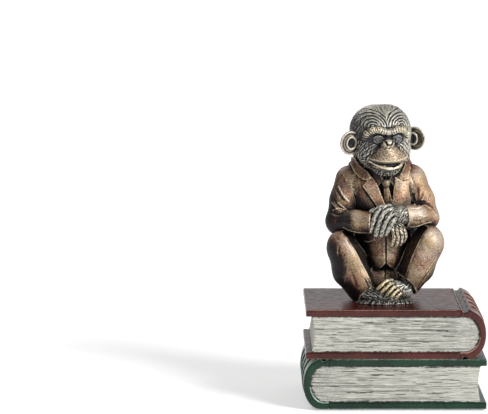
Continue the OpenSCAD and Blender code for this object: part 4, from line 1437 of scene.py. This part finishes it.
def cover_paint(name, dark, light, worn_and_lit):
    """Painted leather cloth with a satin lacquer, rubbed pale along its edges, and with a painted highlight
    along the spine's lower inner edge.
    """
    p = Paint(name)
    colour = p.mix(p.ramp(p.noise(16, 4), 0.35, 0.65), dark, light)
    colour = p.mix(p.ramp(p.noise(1.8, 5, 0.7), 0.52, 0.75, 0, 0.35), colour, tuple(0.35 * c for c in dark))
    chips = p.ramp(p.noise(2.2, 5, 0.75), 0.40, 0.58, 0.45, 1)
    edge = p.times(p.ramp(p.value("edge"), 0.25, 0.9, 0, 0.9), chips)
    colour = p.mix(p.ramp(p.value("wash"), 0.1, 0.8, 0, 0.9), colour, (0.006, 0.005, 0.006))
    colour = p.mix(edge, colour, worn_and_lit)
    rough = p.ramp(p.noise(3.5, 4), 0.3, 0.7, 0.20, 0.34)
    return p.finish(colour, rough, 0.0, p.noise(0.9, 4, 0.6), 0.015, Specular_IOR_Level=0.36)


def page_paint():
    p = Paint("page_edges")
    streak = p.noise(0.34, 5, 0.8, (0.035, 0.035, 1))
    colour = p.mix(p.ramp(streak, 0.40, 0.58), (0.22, 0.215, 0.19), (0.57, 0.565, 0.50))
    colour = p.mix(p.ramp(p.noise(0.8, 5, 0.8), 0.50, 0.70, 0, 0.5), colour, (0.24, 0.235, 0.22))
    speck = p.times(p.ramp(p.noise(0.7, 5, 0.85), 0.48, 0.58), p.value("spine"))
    colour = p.mix(p.times(speck, 0.7), colour, (0.14, 0.14, 0.15))
    colour = p.mix(p.ramp(p.value("wash"), 0.12, 0.8, 0, 0.95), colour, (0.020, 0.019, 0.018))
    return p.finish(colour, p.ramp(streak, 0.3, 0.7, 0.62, 0.85), 0.0,
                    p.noise(0.3, 3, 0.7, (0.06, 0.06, 1)), 0.08)


def eye_paint():
    p = Paint("dark_eye")
    colour = p.mix(p.ramp(p.noise(1.0, 4, 0.7), 0.42, 0.60), (0.012, 0.012, 0.015), (0.11, 0.113, 0.12))
    return p.finish(colour, p.ramp(p.noise(0.8, 3), 0.3, 0.7, 0.10, 0.2), 0.0, Coat_Weight=0.6)


def felt_paint():
    p = Paint("felt")
    colour = p.mix(p.ramp(p.noise(0.5, 5, 0.8), 0.35, 0.65), (0.012, 0.012, 0.013), (0.04, 0.04, 0.042))
    return p.finish(colour, p.ramp(p.noise(2, 3), 0.3, 0.7, 0.88, 0.98), 0.0, p.noise(0.3, 4, 0.8), 0.25,
                    Sheen_Weight=0.3)


def steel_paint():
    p = Paint("steel")
    colour = p.mix(p.ramp(p.noise(2, 4), 0.35, 0.65), (0.42, 0.42, 0.43), (0.58, 0.58, 0.59))
    return p.finish(colour, p.ramp(p.noise(1, 4), 0.3, 0.7, 0.3, 0.45), 1.0,
                    p.noise(0.3, 3, 0.6, (1, 1, 0.1)), 0.01)


def floor_paint():
    p = Paint("studio_floor")
    colour = p.mix(p.ramp(p.noise(60, 3), 0.3, 0.7), (0.86, 0.86, 0.86), (0.89, 0.89, 0.885))
    distance = p.nodes.new("ShaderNodeVectorMath")
    distance.operation = "LENGTH"
    p.links.new(p.place, distance.inputs[0])
    p.set(p.shader, "Emission Color", (1, 1, 1, 1))
    p.set(p.shader, "Emission Strength", p.ramp(distance.outputs["Value"], 0.1, 1.8, 0.34, 0.75))
    return p.finish(colour, 0.75, 0.0)


# Assembly


# deep and high are painted shade and painted highlight; the dark and rubbed layers carry painted shade and
# painted light too
PAINT_LAYERS = ("wash", "wear_and_light", "gold", "tan", "dark_paint_and_shade", "deep", "high")


CROWD_PITCH, NEAR, FAR_OFF = 1.0, 1.5, 4.0     # mm


def crowd_around(skins):
    """How much solid there is round every place, close by and further off: deep places are crowded."""
    solid = Clay([-40, -31, -6], [40, 36, 116], CROWD_PITCH)
    solid.field = (solid.axes()[2] < 0) * np.ones(solid.count, np.float32)
    for skin, unplace in skins:
        fill(solid, skin.clay, unplace)
    return blurred(solid, NEAR), blurred(solid, FAR_OFF)


PAINTED_LIGHT_FROM = np.array([0.50, -0.66, 0.56])     # where the painted light comes from: painted highlights on what faces it


def deepen(skin, near, far, place=None):
    """Paints shade into the deep places, a painted highlight on what stands proud towards the painted
    light, and painted shade on what faces away from it.
    """
    spots = place(skin.v) if place else skin.v
    normals = skin.normals() @ HEAD_AXES.T if place is place_head else skin.normals()
    # Painted occlusion shade: darker where much solid crowds round, close by and further off
    close = unit((near.at(spots + normals * 1.4) - 0.22) / 0.34)
    wide = unit((far.at(spots + normals * 3.6) - 0.24) / 0.40)
    skin.paint["deep"] = unit(skin.spread(0.55 * close + 0.75 * wide, 4)) * skin.hold
    # Painted highlight: what stands proud and faces the painted light
    proud = unit((0.38 - far.at(spots + normals * 2.4)) / 0.22)
    facing = unit(normals @ PAINTED_LIGHT_FROM * 1.1)
    skin.paint["high"] = skin.spread(proud * facing ** 1.6, 4)
    # Painted shade on what faces away from the painted light
    away = unit(0.12 - normals @ PAINTED_LIGHT_FROM)
    skin.paint["dark_paint_and_shade"] = unit(skin.paint["dark_paint_and_shade"] + 0.7 * skin.spread(away, 4))


CAMERA_AT = (-0.0848, -1.598, 0.328)
CAMERA_BOW, LENS, SENSOR = 7.74, 208, 36       # degrees below level, mm, mm
SKY = {"From Min": 0.3, "From Max": 1.0, "To Min": 0.22, "To Max": 0.62}   # from Y to brightness
LAMPS = (("key", (0.95, -0.95, 0.85), 0.45, 25), ("fill", (-0.9, -1.2, 0.5), 0.9, 1.2),
         ("rim", (-0.6, 0.9, 0.9), 0.6, 6))    # name, place, size in m, power in W
LAMP_AIM = Vector((0, 0, 0.09))
FLOOR_RINGS, FLOOR_STEPS = (0.02, 0.3, 1.0, 3.0, 9.0), 96


def link(name, data):
    thing = bpy.data.objects.new(name, data)
    bpy.context.scene.collection.objects.link(thing)
    return thing


def camera():
    lens = bpy.data.cameras.new("camera")
    lens.lens, lens.sensor_width, lens.clip_end = LENS, SENSOR, 60
    eye = link("camera", lens)
    eye.location = CAMERA_AT
    eye.rotation_euler = (math.radians(90 - CAMERA_BOW), 0, 0)
    bpy.context.scene.camera = eye


def sky():
    """A white studio, brighter behind the object than behind the camera."""
    world = bpy.data.worlds.new("studio")
    world.use_nodes = True
    nodes, links = world.node_tree.nodes, world.node_tree.links
    nodes["Background"].inputs["Color"].default_value = (1, 1, 1, 1)
    axes, glow = nodes.new("ShaderNodeSeparateXYZ"), nodes.new("ShaderNodeMapRange")
    links.new(nodes.new("ShaderNodeTexCoord").outputs["Generated"], axes.inputs[0])
    links.new(axes.outputs["Y"], glow.inputs["Value"])
    for name, value in SKY.items():
        glow.inputs[name].default_value = value
    links.new(glow.outputs["Result"], nodes["Background"].inputs["Strength"])
    bpy.context.scene.world = world


def lamps():
    for name, place, size, power in LAMPS:
        light = bpy.data.lights.new(name, "AREA")
        light.size, light.energy = size, power
        lamp = link(name, light)
        lamp.location = place
        lamp.rotation_euler = (LAMP_AIM - Vector(place)).to_track_quat("-Z", "Y").to_euler()


def floor():
    """A disc in rings, so that its faces stay small near the object."""
    n = FLOOR_STEPS
    turns = np.linspace(0, 2 * np.pi, n + 1)[:-1]
    verts = [(r * math.cos(t), r * math.sin(t), 0) for r in FLOOR_RINGS for t in turns]
    faces = [(k * n + i, (k + 1) * n + i, (k + 1) * n + (i + 1) % n, k * n + (i + 1) % n)
             for k in range(len(FLOOR_RINGS) - 1) for i in range(n)]
    mesh = bpy.data.meshes.new("studio_floor")
    mesh.from_pydata(verts, [], faces + [tuple(range(n))])
    mesh.materials.append(floor_paint())
    link("studio_floor", mesh)


camera()
sky()
bpy.context.scene.view_settings.view_transform = "Standard"
lamps()
floor()
CLOTH_PAINT, FUR_PAINT, EYE_PAINT = bronze_cloth(), bronze_fur(), eye_paint()
plan = []


def plan_piece(name, skin, material, slot, nodes, place=None, unplace=None):
    """Keeps a piece until all are there. One in a frame of its own comes with place and unplace."""
    for key in PAINT_LAYERS:
        skin.paint.setdefault(key, np.zeros(len(skin.v)))
    plan.append((name, skin, material, slot, nodes, place, unplace))


def on_cloth(clay, marks, behind=False):
    """Lays marks on the clay's front or back. A mark is (width, depth, x, z, x, z, ...)."""
    return [(clay.front(curve(np.reshape(points, (-1, 2))), 0, behind), width, depth)
            for width, depth, *points in marks]


def plan_cloth(name, clay, seed, node, grooves=(), ridges=(), back=(), dark_paint_and_shade=None, pale=None):
    """A piece of the suit: grooves and ridges are marks on its front, and back has grooves behind."""
    skin = clay.skin().settle(2)
    skin.push(0.14 * value_noise(skin.v, 6, seed) + 0.06 * value_noise(skin.v, 2.2, seed + 9))
    for line, width, depth in on_cloth(clay, grooves):
        skin.press([line], width, depth, 0.35)
    for line, width, depth in on_cloth(clay, back, True):
        skin.press([line], width, depth, 0.4)
    crests = on_cloth(clay, ridges)
    for line, width, depth in crests:
        skin.press([line], width, -depth, 0.5)
    skin.weather(10, 0.34)
    for line, width, depth in crests:
        worn_and_lit = 1.3 * depth * near_line(skin.v, line, 1.7 * width)
        skin.paint["wear_and_light"] = np.maximum(skin.paint["wear_and_light"], worn_and_lit)
    # Dark paint and painted shade
    if dark_paint_and_shade:
        skin.paint["dark_paint_and_shade"] = unit(dark_paint_and_shade(skin.v, skin.normals()))
    # Painted light: pale paints the lit parts paler in the rubbed layer
    if pale:
        worn_and_lit = pale(skin.v) * (1 + 0.6 * value_noise(skin.v, 3, seed))
        skin.paint["wear_and_light"] = np.maximum(skin.paint["wear_and_light"], worn_and_lit)
    plan_piece(name, skin, CLOTH_PAINT, "bronze_cloth", [node])


def below(v, start, over):
    """Nought at a height and above it, growing to one over a distance below."""
    return unit((start - v[:, 2]) / over)


def even(amount):
    return lambda v, n: np.full(len(v), amount)


ARMPIT_RAYS = [(19, 55.5, 17.4, 59.4, 15.6, 64), (19.4, 56, 19.7, 61, 19.6, 65.8),
               (19.8, 56, 21.6, 60, 23, 63.5), (20.4, 55.6, 23.2, 58, 25.3, 60.6)]
BACK_FOLDS = [(1.5, 0.45, side * 3, z + 2, side * 9, z, side * 15, z + 5)
              for side, z in ((-1, 29), (1, 25), (-1, 40), (1, 35))]
BACK_ARMHOLES = [(0.8, 0.5, side * 17, 69, side * 15.5, 60, side * 17, 52) for side in (-1, 1)]
jacket, sleeves, seat, trousers = clothes()
plan_cloth(
    "tailored_jacket", jacket, 21, "jacket",
    [(0.9, 0.45, *ray) for ray in ARMPIT_RAYS[1:]]
    + [(0.55, 0.5, -12.9, 70.4, -12.4, 66.6, -7.9, 60.4, -3.2, 53.2),
       (0.55, 0.5, 14.9, 70, 15.2, 64.8, 16.4, 58, 15.2, 54), (0.9, 0.7, -17.4, 66, -16.4, 60, -16.6, 53),
       (0.5, 0.3, -14.8, 63.6, -14, 58, -14.4, 54)],
    [(0.5, 0.5, -18.3, 66.4, -17, 63.9, -15.9, 61.4), (0.4, 0.35, -23.9, 74.9, -21, 70.6, -19.4, 66.9),
     (0.4, 0.2, 18.2, 66, 20.5, 71, 22.4, 74.4)],
    [(0.4, 0.4, -0.6, 71, -0.4, 48, 0, 24), (0.5, 1.0, 0, 24, 0.1, 17, 0, 9)] + BACK_FOLDS + BACK_ARMHOLES,
    # Painted shade on the chest's -X side, away from the light, below the shoulder
    lambda v, n: 0.75 * unit((-5 - v[:, 0]) / 9) * below(v, 67, 11) * (v[:, 1] < 2),
    # Painted light: the upper front on the +X side, towards the light, is painted paler
    lambda v: 0.30 * unit((v[:, 0] - 4) / 3) * unit((v[:, 2] - 50) / 6) * (v[:, 1] < 0))
plan_cloth(
    "right_folded_sleeve", sleeves["right"], 31, "right_sleeve",
    [(0.9, 0.55, -27, 64.4, -24.6, 60.4, -22, 57.6), (0.8, 0.55, -28.4, 58.4, -25.6, 55.4, -21.6, 53.4),
     (0.9, 0.5, -30, 51.4, -26.4, 50.4, -23, 51.4), (1.1, 0.3, -27.4, 46, -23.4, 47.6, -19, 47.2)],
    [(0.5, 0.65, -25.4, 65.5, -23.5, 62, -21.5, 59.2, -19.5, 57.4),
     (0.45, 0.6, -25.9, 56.6, -23.3, 54.7, -20.4, 52.4), (0.4, 0.5, -29.2, 56.6, -26.4, 53.4, -24.2, 52),
     (0.4, 0.5, -28.6, 52.2, -25.6, 53.6, -22.4, 53), (0.4, 0.3, -24.4, 74.6, -21.6, 70.4, -20, 66.9),
     (0.5, 0.45, -23, 43.4, -18.1, 41.9, -14.5, 41.2, -8.6, 40.9)],
    # Painted shade on faces turned to -X, away from the light, and on the undersides
    dark_paint_and_shade=lambda v, n: (1.3 * unit(-n[:, 0] - 0.15) * below(v, 68, 12) * unit(0.9 - n[:, 1])
                       + unit(-n[:, 2]) * 0.5))
plan_cloth(
    "left_folded_sleeve", sleeves["left"], 32, "left_sleeve",
    [(0.9, 0.5, *ray) for ray in ARMPIT_RAYS]
    + [(0.8, 0.6, 14, 57, 18, 56.6, 22.6, 57.2, 27.2, 55, 30.4, 51),
       (0.7, 0.4, 27.6, 62, 25.6, 58.4, 23, 57), (0.9, 0.35, 16, 48.4, 20.4, 47.6, 26, 49.4)],
    [(0.5, 0.45, 13.8, 55.2, 18.1, 55, 22.6, 55.5, 27.2, 53.1, 30.2, 49.4),
     (0.5, 0.5, 13.6, 44.1, 18.1, 44.5, 22.6, 45.7, 27.1, 46), (0.7, 0.3, 17, 52.4, 21, 50.6, 25.4, 50.2),
     (0.5, 0.4, 13.4, 55, 13.6, 50, 13.2, 45), (0.4, 0.3, 18.6, 66.4, 20.9, 71, 22.8, 74)],
    # Painted shade on the undersides
    dark_paint_and_shade=lambda v, n: unit(-n[:, 2]) * 0.5)
# The seat is painted darker on its back half
plan_cloth("creased_trouser_seat", seat, 41, "trousers_seat", [(0.5, 0.5, 1, 20, 1.4, 16, 1, 12)],
           dark_paint_and_shade=lambda v, n: 0.4 * (v[:, 1] > 0))
plan_cloth(
    "right_creased_trouser_leg", trousers["right"], 51, "right_trouser_leg",
    [(0.5, 0.6, -25.3, 33.6, -25.7, 30.7, -25.7, 27.6), (0.9, 0.35, -27.4, 38.4, -24.8, 36.8, -22.4, 37.4),
     (1.1, 0.3, -20, 22, -17.4, 16, -15.4, 9.6), (0.5, 0.4, -10.6, 15.4, -9.2, 12.2, -8.2, 10.8)],
    [(0.5, 0.4, -23.6, 40.4, -20.9, 37.6, -17.3, 32.3, -14.1, 26.4, -10.9, 20, -7.8, 14.2, -7, 10.8),
     (0.4, 0.45, -16.2, 36, -12.7, 31.3, -9.6, 26.3, -6.5, 19.8, -3, 14.8),
     (0.45, 0.5, -6.9, 10.4, -9.3, 8, -13.4, 5), (0.35, 0.35, -9.7, 15, -8.4, 11.9, -6.9, 10.4)],
    # Painted shade on faces turned to -X, away from the light, and on the inner faces between the legs;
    # darker towards the bottom
    dark_paint_and_shade=lambda v, n: (unit(-n[:, 0] * 2.2 - 0.2) * below(v, 41, 12) + 0.8 * below(v, 13, 10)
                       + unit(n[:, 0] - 0.3) * 1.3))
plan_cloth(
    "left_creased_trouser_leg", trousers["left"], 52, "left_trouser_leg",
    [(0.6, 0.7, 31.4, 29.4, 29.2, 25, 25.6, 19.8), (0.9, 0.4, 26.6, 20.6, 22.6, 14.6, 19.4, 10),
     (0.9, 0.3, 28, 41, 25.6, 39.4, 23.2, 40)],
    [(0.5, 0.4, 25, 43.2, 22.2, 39.9, 19.1, 34.1, 16, 27.4, 13.8, 21.1, 12.5, 16.4),
     (0.4, 0.45, 14.5, 34.5, 12.1, 28.6, 10, 23.1, 7.8, 18.9, 5, 16),
     (0.4, 0.45, 30.3, 27.8, 28, 23.6, 24.4, 19),
     (0.45, 0.5, 7.6, 17, 12, 15, 15.4, 12, 18.4, 8.2, 18.6, 4.6)],
    # Painted shade on the inner faces between the legs; darker low on the +X side and towards the bottom
    dark_paint_and_shade=lambda v, n: (unit(n[:, 0] * 1.3 - 0.3) * below(v, 26, 10) * 0.8 + 0.6 * below(v, 10, 9)
                       + unit(-n[:, 0] - 0.3) * 0.8))
waistcoat = waistcoat_clay()
plan_cloth(
    "pointed_waistcoat", waistcoat, 61, "waistcoat",
    [(0.5, 1.1, 1.5, 39, 1.5, 30.3, 1.6, 22), (0.4, 0.4, 1.4, 62, 1.4, 50),
     (0.35, 0.4, -10.5, 33.2, -7.8, 33.4, -6, 34.4)],
    [(0.32, 0.5, -10.5, 34.2, -7.8, 34.5, -6, 35.6), (0.3, 0.4, -5.6, 37, -4.4, 35)], dark_paint_and_shade=even(0.12))
for side, points in (("right", RIGHT_LAPEL), ("left", LEFT_LAPEL)):
    # Painted light: the lapel on the +X side, towards the light, is painted paler
    plan_cloth(side + "_peaked_lapel", lapel_clay(chest_clay(3), points), 71, side + "_lapel",
               pale=lambda v: 0.34 * (v[:, 0] > 1))
plan_cloth("turned_down_collar", collar_clay(chest_clay(5), neck_clay()), 81, "jacket_collar")
plan_cloth("knotted_necktie", tie_clay(), 91, "necktie", [(0.6, 0.25, 2.6, 66, 3.2, 62, 3, 57)],
           dark_paint_and_shade=even(0.35))
# Painted shade: the shirt collar lies back inside the jacket's opening and is painted darker
plan_cloth("pointed_shirt_collar", shirt_clay(), 92, "shirt_collar", dark_paint_and_shade=even(0.45))
plan_cloth("waistcoat_button_pair", button_clay(waistcoat), 93, "waistcoat_buttons")

plan_piece("combed_head", head_skin(head_clay()), FUR_PAINT, "bronze_fur", ["head"], place_head,
           unplace_head)
eyes = eye_clay().skin().settle(1)
plan_piece("glossy_eyes", eyes, EYE_PAINT, "dark_eye", ["eyes"], place_head, unplace_head)
for side in ("left", "right"):
    plan_piece(side + "_rolled_ear", ear_skin(side), FUR_PAINT, "bronze_face", [side + "_ear"],
               place_head, unplace_head)
FURRY = (
    # name, node, clay, seed, hairs, flow, hair length, digits with golden tips, how dark it is painted, tan
    ("combed_neck", "neck_fur", neck_clay(), 5, 1200, cheek_flow, 4.0, (), 0.55, 0),
    ("left_clasped_hand", "left_hand", left_hand_clay(), 6, 700, along([-8, 0, -10]), 2.4, (), 0.28, 0),
    ("right_clasped_hand", "right_hand", right_hand_clay(), 7, 700, along([6, 0, -6]), 2.4, (), 0.26, 0.8),
    ("left_crossed_foot", "left_foot", left_foot_clay(), 8, 800, along([-8, 0, -6]), 2.4, TOES, 0.24, 0),
    ("right_crossed_foot", "right_foot", right_foot_clay(), 9, 700, along([9, 0, -4]), 2.4, (), 0.45, 0),
    ("furry_plinth", "figure_plinth", plinth_clay(), 10, 2200, outward_flow, 3.0, (), 0.58, 0))
for name, node, clay, seed, count, flow, length, digits, dark_paint_and_shade, tan in FURRY:
    skin = furry(clay, seed, count, flow, length, digits)
    skin.paint["dark_paint_and_shade"] = np.full(len(skin.v), float(dark_paint_and_shade))
    skin.paint["tan"] = np.full(len(skin.v), float(tan))
    plan_piece(name, skin, FUR_PAINT, "bronze_fur", [node])

near, far = crowd_around([(skin, unplace) for _, skin, _, _, _, _, unplace in plan])
for name, skin, material, slot, nodes, place, _ in plan:
    deepen(skin, near, far, place)
    verts = (place(skin.v) if place else skin.v) + FIGURE_AT
    put(name, verts, skin.q, material, nodes, {key: skin.paint[key] for key in PAINT_LAYERS})

OXBLOOD = cover_paint("oxblood_cover", (0.036, 0.005, 0.003), (0.068, 0.011, 0.007), (0.52, 0.32, 0.25))
GREEN = cover_paint("green_cover", (0.001, 0.015, 0.007), (0.003, 0.032, 0.014), (0.34, 0.46, 0.38))
PAGE_PAINT, FELT, STEEL = page_paint(), felt_paint(), steel_paint()
Book("upper_book", 1, 3.4, 100, ("oxblood_cover", OXBLOOD)).build(PAGE_PAINT)
Book("lower_book", -1, 4.0, 200, ("green_cover", GREEN)).build(PAGE_PAINT)
for node, material in (("foot_pads", FELT), ("book_dowels", STEEL), ("figure_dowels", STEEL)):
    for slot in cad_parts[node].material_slots:
        slot.material = material
